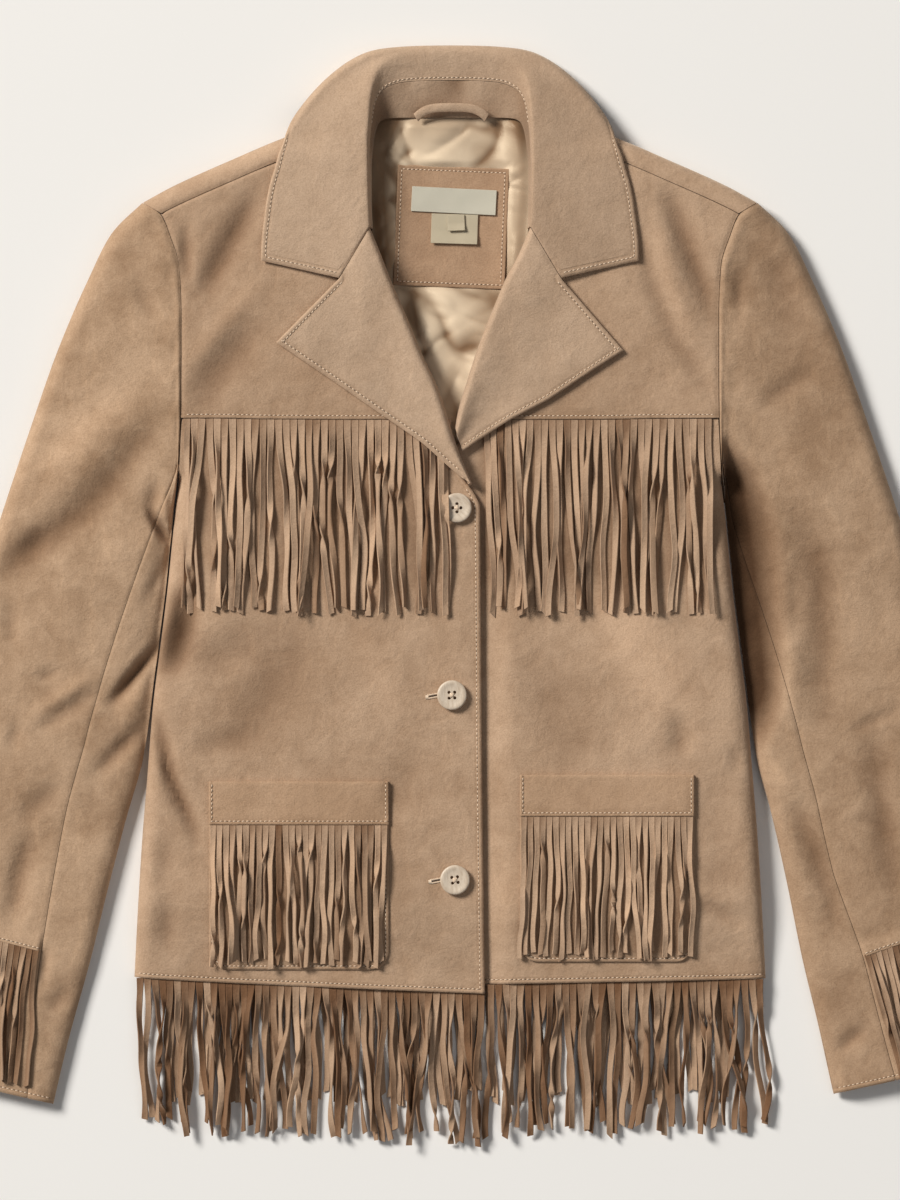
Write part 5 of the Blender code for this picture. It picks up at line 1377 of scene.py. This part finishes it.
def add_button(name, x, y, turn):
    vertices, faces = turned(BUTTON_PROFILE, 64, 0.07, 41)
    made = add_object(f"horn_{name}", vertices, faces, HORN)
    rod, sides = turned([(0.0, 9.0), (HOLE_RADIUS, 9.0), (HOLE_RADIUS, -4.0), (0.0, -4.0)], 20)
    vertices, faces = [], []
    for across in (-HOLE_OFF, HOLE_OFF):
        for up in (-HOLE_OFF, HOLE_OFF):
            faces += [[i + len(vertices) for i in face] for face in sides]
            vertices += [(vx + across, vy + up, vz) for vx, vy, vz in rod]
    drill = add_object(f"drill_{name}", vertices, faces, HORN)
    cut = made.modifiers.new("holes", "BOOLEAN")
    cut.operation, cut.object = "DIFFERENCE", drill
    rim = made.modifiers.new("worn", "BEVEL")
    rim.limit_method, rim.angle_limit = "ANGLE", math.radians(40)
    rim.width, rim.segments = 0.12 * MM, 2
    apply_modifiers(made)
    bpy.data.objects.remove(drill)
    made.data.shade_smooth()
    made.data.set_sharp_from_angle(angle=math.radians(40))
    made.rotation_euler = (0.0, 0.0, turn)
    made.location = (x * MM, y * MM, (float(front_height(RIGHT, -x, y)) + BUTTON_LIFT) * MM)
    dress(made, f"button_{name}", slot="horn_button", sheet=False)


for name, place in BUTTONS.items():
    add_button(name, *place)

# %% [markdown]
# ## Fringes
# A fringe is a strip of suede cut into strands almost up to its top edge, and sewn into a seam by what is
# left. The strands start out side by side. Further down they bunch together, lean, twist and lie over one
# another, so each is a ribbon along its own path. Where two paths cross, the later strand is lifted over
# the earlier one, which is worked out section by section. A simulation would take far longer for 326
# strands. Each strand also has its own tone; painted shade darkens its right flank, its underside and its
# root, its left cut edge is paler, partly as painted light, and the lower fringes are darkened as a whole,
# as painted shade among their strands.

# %% Lay the strands
STRAND = 1.3  # thickness
SECTIONS = 44
RIBBON = [  # across, up: a ribbon that is cupped a little, as cut suede is
    (-1.0, 0.35), (-0.86, 1.1), (0.0, 0.75), (0.86, 1.1),
    (1.0, 0.35), (0.86, -0.75), (0.0, -1.1), (-0.86, -0.75),
]
# the left cut edge and top paler, partly as painted light from the left; painted shade on the right flank and
# beneath
CORNER_TONE = np.array([0.35, 0.25, 0.1, 0.0, -0.75, -0.5, -0.4, -0.4])  # at each corner of the ribbon


def stack(u, half, rise, order, most):
    """Centre heights over the bed at one section, so that strands that cross lie on each other."""
    height = rise.copy()
    for n, k in enumerate(order):
        under = order[:n]
        met = under[np.abs(u[under] - u[k]) < 0.82 * (half[under] + half[k])]
        if len(met):
            height[k] = max(height[k], (height[met] + 0.85 * (rise[met] + rise[k])).max())
    return np.minimum(height, most + rise * 0.6)


def smooth_along(values, passes):
    for _ in range(passes):
        values[:, 1:-1] = 0.25 * values[:, :-2] + 0.5 * values[:, 1:-1] + 0.25 * values[:, 2:]
    return values


def add_fringe(name, place, count, wide, length, seed, clump=3.3, lean=0.02, wander=1.5, twist=1.0,
               uneven=3.5, most=(3.4, 6.5), splay=0.0, flare=0.0, shade=0.0):
    """A fringe. place(u, v) gives the bed's x, y and z at u mm along the strip and v mm down."""
    rng = np.random.default_rng(seed)
    own = lambda low, high: rng.uniform(low, high, (count, 1))
    t = np.linspace(0, 1, SECTIONS)[None]
    pitch = wide / count
    root = (np.arange(count)[:, None] + 0.5) * pitch
    long = length + own(-uneven, uneven)
    bunch = np.sin(root / 7.3 + 0.4 + 1.3 * t + seed) + 0.7 * np.sin(root / 3.7 + 2.0 - 1.7 * t + 2 * seed)
    u = root + clump * ease(0.0, 0.8, t) * bunch + rng.normal(0, lean, (count, 1)) * long * t
    u = u + (splay * (root / wide) ** 3 - flare * (1 - root / wide) ** 9) * ease(0.0, 0.7, t)
    u = u + wander * ease(0.02, 0.4, t) * np.sin(own(3, 7.5) * t + own(0, 6.3))
    u = u + 0.5 * ease(0.1, 0.6, t) * np.sin(own(9, 16) * t + own(0, 6.3))
    turn = twist * (0.3 + own(0, 1) ** 1.6)
    theta = turn * np.sin(own(3, 8) * t + own(0, 6.3)) * ease(0.0, 0.22, t)
    for share, low, high in ((0.34, 0.06, 0.5), (0.2, 0.5, 0.8)):
        flips = (own(0, 1) < share * min(twist, 1.0)) * np.sign(own(-1, 1))
        theta = theta + math.pi * flips * ease(0, 1, (t - own(low, high)) / own(0.18, 0.34))
    half = pitch / 2 * (0.99 - 0.13 * ease(0.0, 0.12, t)) * np.ones_like(u)
    across, rise = np.abs(np.cos(theta)), np.abs(np.sin(theta))
    spread, tall = half * across + STRAND / 2 * rise, half * rise + STRAND / 2 * across
    order = rng.permutation(count)
    limit = most[0] + (most[1] - most[0]) * ease(0.1, 0.5, t[0])
    lift = np.stack([stack(u[:, s], spread[:, s], tall[:, s], order, limit[s]) for s in range(SECTIONS)], 1)
    lift = smooth_along(lift, 3)
    x, y, z = place(u, long * t)
    path = np.stack([x, y, z + lift + 0.15], 2)
    along = np.gradient(path, axis=1)
    along /= np.linalg.norm(along, axis=2, keepdims=True)
    side = np.cross(along, [0.0, 0.0, 1.0])
    side /= np.linalg.norm(side, axis=2, keepdims=True)
    up = np.cross(side, along)
    c, s = np.cos(theta)[..., None], np.sin(theta)[..., None]
    side, up = side * c + up * s, up * c - side * s
    slant = rng.normal(0, 0.9, (count, 1, 1)) * (t[..., None] > 0.99)
    rings = [path + side * half[..., None] * a + up * (STRAND / 2 * b) + along * slant * a for a, b in RIBBON]
    points = np.stack(rings, 2)
    # each strand's own tone, lowered by shade, which darkens a whole fringe as painted shade among its
    # strands; painted shadow at the root, under the seam
    tone = np.clip(rng.normal(-shade, 0.38 + 0.16 * shade, (count, 1, 1)), -1.6, 0.9)
    tone = tone + CORNER_TONE - 0.5 * ease(0.16, 0.0, t)[..., None]
    return add_strands(name, points, tone)


def add_strands(name, points, tone):
    count, sections, sides = points.shape[:3]
    k, s, i = np.meshgrid(np.arange(count), np.arange(sections - 1), np.arange(sides), indexing="ij")
    at = lambda k, s, i: (k * sections + s) * sides + i % sides
    corners = [at(k, s, i), at(k, s, i + 1), at(k, s + 1, i + 1), at(k, s + 1, i)]
    faces = np.stack(corners, -1).reshape(-1, 4).tolist()
    for k in range(count):
        faces.append([at(k, 0, i) for i in range(sides)][::-1])
        faces.append([at(k, sections - 1, i) for i in range(sides)])
    made = add_object(name, points.reshape(-1, 3), faces, FRINGE_SUEDE)
    shape = bmesh.new()
    shape.from_mesh(made.data)
    bmesh.ops.recalc_face_normals(shape, faces=shape.faces)
    shape.to_mesh(made.data)
    shape.free()
    made.data.set_sharp_from_angle(angle=math.radians(38))
    store(made.data, "tone", tone.reshape(-1))
    print(f"{name}: {count} strands, {len(made.data.polygons)} faces")
    return made


print("one ribbon section has", len(RIBBON), "corners")

# %% Chest and pocket fringes
CHEST_FRINGE, POCKET_FRINGE, HEM_FRINGE, BACK_FRINGE = 138.0, 100.0, 106.0, 97.0
CHEST_SPAN = {RIGHT: (192.0, -0.5, 35), LEFT: (188.5, 23.0, 31)}  # outer x, inner x, strands
POCKET_COUNT, BACK_COUNT = 27, 84


def over_button(x, y, bed):
    """The top button stands under the chest fringe's last strands."""
    bx, by, _ = BUTTONS["top"]
    away = np.hypot(x - bx, y - by)
    return bed + (BUTTON_LIFT + 3.2) * ease(15.0, 9.0, away)


def chest_place(side):
    outer = CHEST_SPAN[side][0]

    def place(u, v):
        x, y = outer - u, yoke_foot(side, outer - u[:, :1]) - GAP - v
        bed = front_height(side, x, y) + 0.15
        return side * x, y, over_button(side * x, y, bed) if side == RIGHT else bed

    return place


def pocket_place(side):
    pocket = POCKETS[side]

    def place(u, v):
        x, y = pocket.outer_x - 0.8 - u, pocket.band_y - GAP - v
        return side * x, y, front_height(side, x, y) + LAYER + 0.1

    return place


chest_fringes, pocket_fringes = {}, {}
for side, seed in ((RIGHT, 3), (LEFT, 14)):
    outer, inner, count = CHEST_SPAN[side]
    name = NAMES[side]
    chest_fringes[side] = add_fringe(f"chest_fringe_{name}_cut", chest_place(side), count, outer - inner,
                                     CHEST_FRINGE, seed, splay=5.0 if side == RIGHT else -1.0)
    wide = POCKETS[side].outer_x - POCKETS[side].inner_x - 1.6
    pocket_fringes[side] = add_fringe(
        f"pocket_fringe_{name}_cut", pocket_place(side), POCKET_COUNT, wide, POCKET_FRINGE, seed + 2,
        clump=1.8, lean=0.013, wander=1.0, twist=1.1)

# %% Hem fringes
HEM_COUNT = {RIGHT: 47, LEFT: 37}
LEFT_HEM_INNER = 27.0
HEM_OUTER = float(side_x(-278)) - 1.5
BACK_HALF = float(side_x(BACK_HEM_Y)) - UNDER_TURN - 2.0


def hem_place(side):
    inner = float(front_edge_x(side, -285))

    def place(u, v):
        x = HEM_OUTER - u
        y = hem_line(side, u / (HEM_OUTER - inner)) - GAP - v
        fall = 2.6 + (HEM_CROWN - 3.7 - 2.6) * (1 - ease(0.0, 40.0, v))
        return side * x, y, fall + 0.5 * waves(side * x, y, 26, 51)

    return place


def back_place(u, v):
    x, y = u - BACK_HALF, BACK_HEM_Y - GAP - v
    return x, y, 0.0 * x + 0.1


hem_fringes = {}
for side, seed in ((RIGHT, 25), (LEFT, 36)):
    inner = float(front_edge_x(side, -285)) if side == RIGHT else LEFT_HEM_INNER
    hem_fringes[side] = add_fringe(
        f"hem_fringe_{NAMES[side]}_cut", hem_place(side), HEM_COUNT[side], HEM_OUTER - inner, HEM_FRINGE,
        seed, clump=3.4, lean=0.045, wander=2.0, twist=1.25, uneven=6.0, most=(2.0, 5.0), flare=7.0,
        shade=0.95)
back_fringe = add_fringe(
    "hem_fringe_back_cut", back_place, BACK_COUNT, 2 * BACK_HALF, BACK_FRINGE, 47, clump=2.0, lean=0.03,
    wander=1.2, twist=0.25, uneven=6.0, most=(1.2, 1.8), shade=0.25)

# %% Cuff fringes
CUFF_COUNT, CUFF_FRINGE = 19, 98.0


def cuff_place(side, wide):
    def place(u, v):
        x, y, z = np.empty_like(u), np.empty_like(u), np.empty_like(u)
        for s in range(u.shape[1]):
            at = float(fringe_row(side, 0.4)) - 0.02 + float(v[:, s].mean()) / ROW_LONG
            row = sleeve_row(side, min(at, LAST_ROW))
            low, high = FOLD_RADIUS / sleeve_wide(row), row.seam - 0.012
            shares = np.clip(low + (high - low) * u[:, s] / wide, 0.01, 0.98)
            at = min(at, LAST_ROW) + fringe_row(side, shares) - fringe_row(side, 0.4)
            spots = [sleeve_points(side, min(a, LAST_ROW), np.array([share]), np.zeros(1, bool), False)[0]
                     for a, share in zip(at, shares)]
            x[:, s], y[:, s], z[:, s] = np.array(spots).T
        return x, y, z + 0.15

    return place


cuff_fringes = {}
for side, seed in ((RIGHT, 58), (LEFT, 69)):
    row = sleeve_row(side, 10.0)
    wide = sleeve_wide(row) * (row.seam - 0.012) - FOLD_RADIUS
    cuff_fringes[side] = add_fringe(
        f"cuff_fringe_{NAMES[side]}_cut", cuff_place(side, wide), CUFF_COUNT, wide, CUFF_FRINGE, seed,
        clump=1.6, lean=0.012, wander=1.0, twist=0.9, uneven=2.0, most=(2.4, 4.0), shade=0.78)

# %% [markdown]
# ## Buttonholes and stitching
# Topstitching is what the eye reads as sewn, so every stitch that shows is a small bead of thread, paler
# than the suede, with a needle hole at each end: a small plug in a dark material that paints the shade
# inside the hole. A line is walked at the stitch length, and each stitch is dropped on the cloth from
# above by a ray, so it follows creases, puffs and layers. A keyhole buttonhole is a slit with an eye at
# its end, its shade painted by a row of the same dark plugs, bound all round by close stitches across its
# edge.

# %% Stitches
STITCH_LONG, STITCH_PITCH, THREAD_THICK = 2.5, 3.2, 0.7
BEAD = [(0.0, 0.0), (0.16, 0.72), (0.5, 1.0), (0.84, 0.72), (1.0, 0.0)]  # along and radius, as shares
BEAD_SIDES, HOLE_SIDES = 6, 7


def surface_of(piece):
    """A tree for ray casts on the piece as its modifiers leave it, in millimetres."""
    evaluated = piece.evaluated_get(bpy.context.evaluated_depsgraph_get())
    mesh = evaluated.to_mesh()
    points = [v.co / MM for v in mesh.vertices]
    tree = BVHTree.FromPolygons(points, [p.vertices[:] for p in mesh.polygons])
    evaluated.to_mesh_clear()
    return tree


def dropped(tree, x, y):
    """The point and normal of the cloth under (x, y), or None past its edge."""
    point, normal, _, _ = tree.ray_cast(Vector((x, y, 60.0)), Vector((0, 0, -1)))
    return None if point is None or normal.z < 0.35 else (np.array(point), np.array(normal))


def walk(line, pitch):
    """Points and directions at an even pitch along a line of points in plan."""
    line = np.asarray(line, float)
    steps = np.linalg.norm(np.diff(line, axis=0), axis=1)
    run = np.concatenate([[0], np.cumsum(steps)])
    count = max(1, int(run[-1] / pitch))
    at = (np.arange(count) + 0.5) * run[-1] / count
    near = np.clip(np.searchsorted(run, at) - 1, 0, len(steps) - 1)
    out = (line[near + 1] - line[near]) / steps[near][:, None]
    return line[near] + out * (at - run[near])[:, None], out


class Thread:
    """Gathers stitches and needle holes into one mesh."""

    def __init__(self):
        self.points, self.faces, self.dark, self.stitches = [], [], [], 0

    def add_tube(self, rings, dark=False):
        base, sides = len(self.points), len(rings[0])
        for ring in rings:
            self.points.extend(ring)
        for r in range(len(rings) - 1):
            for i in range(sides):
                a, b = base + r * sides + i, base + r * sides + (i + 1) % sides
                self.faces.append((a, b, b + sides, a + sides))
                self.dark.append(dark)
        last = base + (len(rings) - 1) * sides
        self.faces.append(tuple(base + i for i in range(sides))[::-1])
        self.faces.append(tuple(last + i for i in range(sides)))
        self.dark.extend([dark, dark])

    def add_stitch(self, place, normal, out, long, thick, slant, sink=0.12):
        across = np.cross(normal, out)
        along = out * math.cos(slant) + across * math.sin(slant)
        along = along - normal * along.dot(normal)
        along /= np.linalg.norm(along)
        across = np.cross(normal, along)
        turns = np.arange(BEAD_SIDES) * 2 * math.pi / BEAD_SIDES
        rings = []
        for share, size in BEAD[1:-1]:
            centre = place + along * (share - 0.5) * long + normal * (thick * size / 2 - sink)
            radius = thick / 2 * (0.55 + 0.45 * size)
            rings.append([centre + radius * (across * math.cos(a) + 0.8 * normal * math.sin(a))
                          for a in turns])
        self.add_tube(rings)
        self.stitches += 1

    def add_hole(self, place, normal, out, size=0.42):
        across = np.cross(normal, out)
        turns = np.arange(HOLE_SIDES) * 2 * math.pi / HOLE_SIDES
        rings = []
        for lift, share in ((-0.5, 1.0), (0.03, 1.0), (0.1, 0.55)):
            middle, radius = place + normal * lift, size * share
            rings.append([middle + radius * (out * math.cos(a) + 0.85 * across * math.sin(a)) for a in turns])
        self.add_tube(rings, dark=True)

    def finish(self, name):
        made = add_object(name, self.points, self.faces, THREAD)
        made.data.materials.append(HOLE_SHADE)
        made.data.polygons.foreach_set("material_index", np.array(self.dark, np.int32))
        print(f"{name}: {self.stitches} stitches")
        return dress(made, sheet=False)


def sew(thread, pieces, line, seed, pitch=STITCH_PITCH, slant=0.14):
    """Stitches along a line in plan, on whichever of the pieces lies uppermost."""
    rng = np.random.default_rng(seed)
    trees = [surfaces[piece.name] for piece in pieces]
    places, outs = walk(line, pitch)
    for (x, y), (u, v) in zip(places, outs):
        u, v = u + rng.normal(0, 0.03), v + rng.normal(0, 0.03)
        hits = [hit for hit in (dropped(tree, x, y) for tree in trees) if hit]
        if not hits:
            continue
        point, normal = max(hits, key=lambda hit: hit[0][2])
        out = np.array([u, v, 0.0])
        long = STITCH_LONG * pitch / STITCH_PITCH * rng.uniform(0.88, 1.08)
        thread.add_stitch(point, normal, out, long, THREAD_THICK, slant + rng.normal(0, 0.06))
        end = out * pitch / 2
        hole = [hit for hit in (dropped(tree, x + end[0], y + end[1]) for tree in trees) if hit]
        if hole:
            point, normal = max(hole, key=lambda hit: hit[0][2])
            thread.add_hole(point, normal, out)


def offset(line, by):
    """A line in plan, moved to its left by that much; corners are mitred."""
    line = np.asarray(line, float)
    steps = np.diff(line, axis=0)
    left = np.stack([-steps[:, 1], steps[:, 0]], 1) / np.linalg.norm(steps, axis=1)[:, None]
    mean = np.concatenate([left[:1], left[:-1] + left[1:], left[-1:]])
    summed = np.array([1.0] + [2.0] * (len(line) - 2) + [1.0])[:, None]
    return line + by * (mean / np.maximum((mean ** 2).sum(1), 0.5)[:, None] * summed)


def world_line(side, line):
    return np.asarray(line, float) * np.array([side, 1.0])


bpy.context.view_layer.update()
sewn = [*fronts.values(), *yokes.values(), *lapels.values(), *[p for pair in pockets.values() for p in pair],
        *[p for pair in sleeves.values() for p in pair], collar, collar_stand,
        tags["label_patch"], tags["main_label"]]
surfaces = {piece.name: surface_of(piece) for piece in sewn}
print(len(surfaces), "pieces to sew on")

# %% Fronts, yokes and pockets
for side in (RIGHT, LEFT):
    name, seed = NAMES[side], 100 + side
    thread = Thread()
    ys = np.linspace(76.0, -285.0, 60)
    edge_line = np.column_stack([front_edge_x(side, ys) + 3.4, ys])
    outer, inner = float(side_x(-282)), float(front_edge_x(side, -282))
    shares = np.linspace(0.01, 0.985, 50)
    hem = np.column_stack([outer + (inner - outer) * shares, hem_line(side, shares) + HEM_STITCH])
    if side == RIGHT:
        sew(thread, [fronts[side]], world_line(side, edge_line), seed)
    sew(thread, [fronts[side]], world_line(side, hem), seed + 1)
    thread.finish(f"front_{name}_stitches")
    thread = Thread()
    xs = np.linspace(190.0, 24.0, 60)
    seam = np.column_stack([xs, yoke_foot(side, xs) + YOKE_STITCH])
    sew(thread, [yokes[side]], world_line(side, seam), seed + 2)
    thread.finish(f"yoke_{name}_stitches")
    pocket = POCKETS[side]
    base, band = pockets[side]
    left, right, low = pocket.outer_x - 2.2, pocket.inner_x + 2.2, pocket.band_y + 2.6
    thread = Thread()
    sew(thread, [band], world_line(side, [(left, pocket.top_y - 1.5), (left, low), (right, low),
                                          (right, pocket.top_y - 1.5)]), seed + 3)
    angles = np.radians(np.linspace(0, 90, 7))
    radius, foot = pocket.corner - 2.6, pocket.bottom_y + 2.6
    corner = np.column_stack([radius * np.cos(angles), -radius * np.sin(angles)]) + [0, foot + radius]
    path = [(left, pocket.band_y - 2), *(corner + [left - radius, 0]),
            *(corner[::-1] * [-1, 1] + [right + radius, 0]), (right, pocket.band_y - 2)]
    sew(thread, [base], world_line(side, path), seed + 4)
    thread.finish(f"pocket_{name}_stitches")

# %% Lapels, collar, patch and cuffs
thread = Thread()
for side in (RIGHT, LEFT):
    outline = offset(lapel_outline(side), -LAPEL_STITCH)
    sew(thread, [lapels[side]], world_line(side, outline[:-2]), 120 + side)
thread.finish("lapel_stitches")
thread = Thread()
rows = [Collar(*r) for r in curve(range(len(COLLAR)), COLLAR, np.linspace(0, len(COLLAR) - 1, 60))]
for side in (RIGHT, LEFT):
    first = rows[0]
    from_notch = np.linspace(COLLAR_NOTCH[0] * first.leaf + 2.0, first.leaf - COLLAR_STITCH, 9)
    end = offset(leaf_points(first, from_notch)[:, :2], COLLAR_STITCH)
    open_rows = [row for row in rows if row.leaf < row.run + 4]
    edge = np.array([leaf_points(row, np.array([row.leaf - COLLAR_STITCH]))[0, :2] for row in open_rows])
    keep = edge[:, 1] > end[-1, 1] + 0.5
    sew(thread, [collar], world_line(side, np.concatenate([end, edge[keep]])), 130 + side)
    seam = np.array([stand_points(row, np.array([STAND_SHARE + 0.05]))[0, :2] for row in rows])
    sew(thread, [collar], world_line(side, seam), 133 + side)
thread.finish("collar_stitches")
thread = Thread()
patch = TAGS["label_patch"][0]
corners = [(-1, 1), (-1, -1), (1, -1), (1, 1), (-1, 1)]
frame_line = [tag_place(patch, u * (patch.width / 2 - 3), v * (patch.height / 2 - 3)) for u, v in corners]
sew(thread, [tags["label_patch"]], frame_line, 140, pitch=3.0)
thread.finish("patch_stitches")
for side in (RIGHT, LEFT):
    thread = Thread()
    for above, most in ((None, 0.97), (1.9, sleeve_row(side, 10.1).seam - 0.015)):
        shares = np.linspace(0.03, most, 40)
        at = np.full(len(shares), LAST_ROW - 4.0 / ROW_LONG)
        if above is not None:
            at = fringe_row(side, shares) - above / ROW_LONG
        path = [sleeve_plan(sleeve_row(side, a), np.array([share]))[0] for a, share in zip(at, shares)]
        sew(thread, list(sleeves[side]), world_line(side, np.array(path)), 150 + side)
    thread.finish(f"cuff_{NAMES[side]}_stitches")

# %% Keyhole buttonholes and the buttons' threads
HOLE_TAIL, HOLE_EYE = 17.8, 5.5  # how far the slit reaches to the left of a button's middle
LIP, LIP_PITCH = 1.15, 0.72

thread = Thread()
rng = np.random.default_rng(160)
front = surfaces[fronts[RIGHT].name]
for name in ("middle", "bottom"):
    x, y, _ = BUTTONS[name]
    slit = [(x - HOLE_TAIL, y - 1.4), (x - HOLE_EYE, y + 0.8)]
    for place, out in zip(*walk(slit, 0.5)):
        point, normal = dropped(front, *place)
        thread.add_hole(point + normal * 0.05, normal, np.array([*out, 0.0]), 0.62)
    for sign in (-1, 1):
        for place, out in zip(*walk(offset(slit, sign * LIP), LIP_PITCH)):
            point, normal = dropped(front, *place)
            across = np.array([-out[1], out[0], 0.0])
            long, slant = rng.uniform(1.6, 2.0), rng.normal(0.1, 0.12)
            thread.add_stitch(point, normal, across, long, 0.68, slant, sink=0.0)
    for k in range(5):
        point, normal = dropped(front, slit[0][0] - 0.9 + 0.42 * k, slit[0][1] - 0.1)
        across, slant = np.array([-0.17, 1.0, 0.0]), rng.normal(0, 0.08)
        thread.add_stitch(point, normal, across, 4.0, 0.62, slant, sink=-0.12)
thread.finish("buttonhole_stitches")
thread = Thread()
for name, (x, y, turn) in BUTTONS.items():
    face = float(front_height(RIGHT, -x, y)) + BUTTON_LIFT + 2.5
    for way in (0.25, 0.75):
        angle = turn + way * math.pi
        out = np.array([math.cos(angle), math.sin(angle), 0.0])
        for aside in (-0.32, 0.32):
            middle = np.array([x, y, face + 0.3 * way]) + aside * np.array([-out[1], out[0], 0.0])
            thread.add_stitch(middle, np.array([0.0, 0.0, 1.0]), out, 6.0, 0.75, 0.0)
thread.finish("button_threads")

# %% Stand the pieces for their nodes
for side, cloth in fronts.items():
    name = NAMES[side]
    fringes = [chest_fringes[side], pocket_fringes[side], hem_fringes[side]]
    for piece, place in zip([*fringes, cuff_fringes[side]], ("chest", "pocket", "hem", "cuff")):
        dress(piece, f"{place}_fringe_{name}", sheet=False)
    dress(cloth, f"front_{name}", rests_on=["back"], with_pieces=fringes)
    dress(yokes[side], f"front_yoke_{name}", rests_on=[cloth.name])
    dress(lapels[side], f"lapel_{name}", rests_on=[yokes[side].name])
    dress(pockets[side][0], f"pocket_{name}", rests_on=[cloth.name])
    dress(pockets[side][1], f"pocket_band_{name}", rests_on=[pockets[side][0].name])
    dress(sleeves[side][0], f"sleeve_top_{name}", with_pieces=[cuff_fringes[side]])
    dress(sleeves[side][1], f"sleeve_under_{name}")
dress(back_fringe, "hem_fringe_back", sheet=False)
dress(back, "back", with_pieces=[back_fringe])
dress(collar, "collar")
dress(collar_stand, "collar_stand")
dress(lining, "lining", slot="satin")
bpy.context.view_layer.update()
low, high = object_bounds()
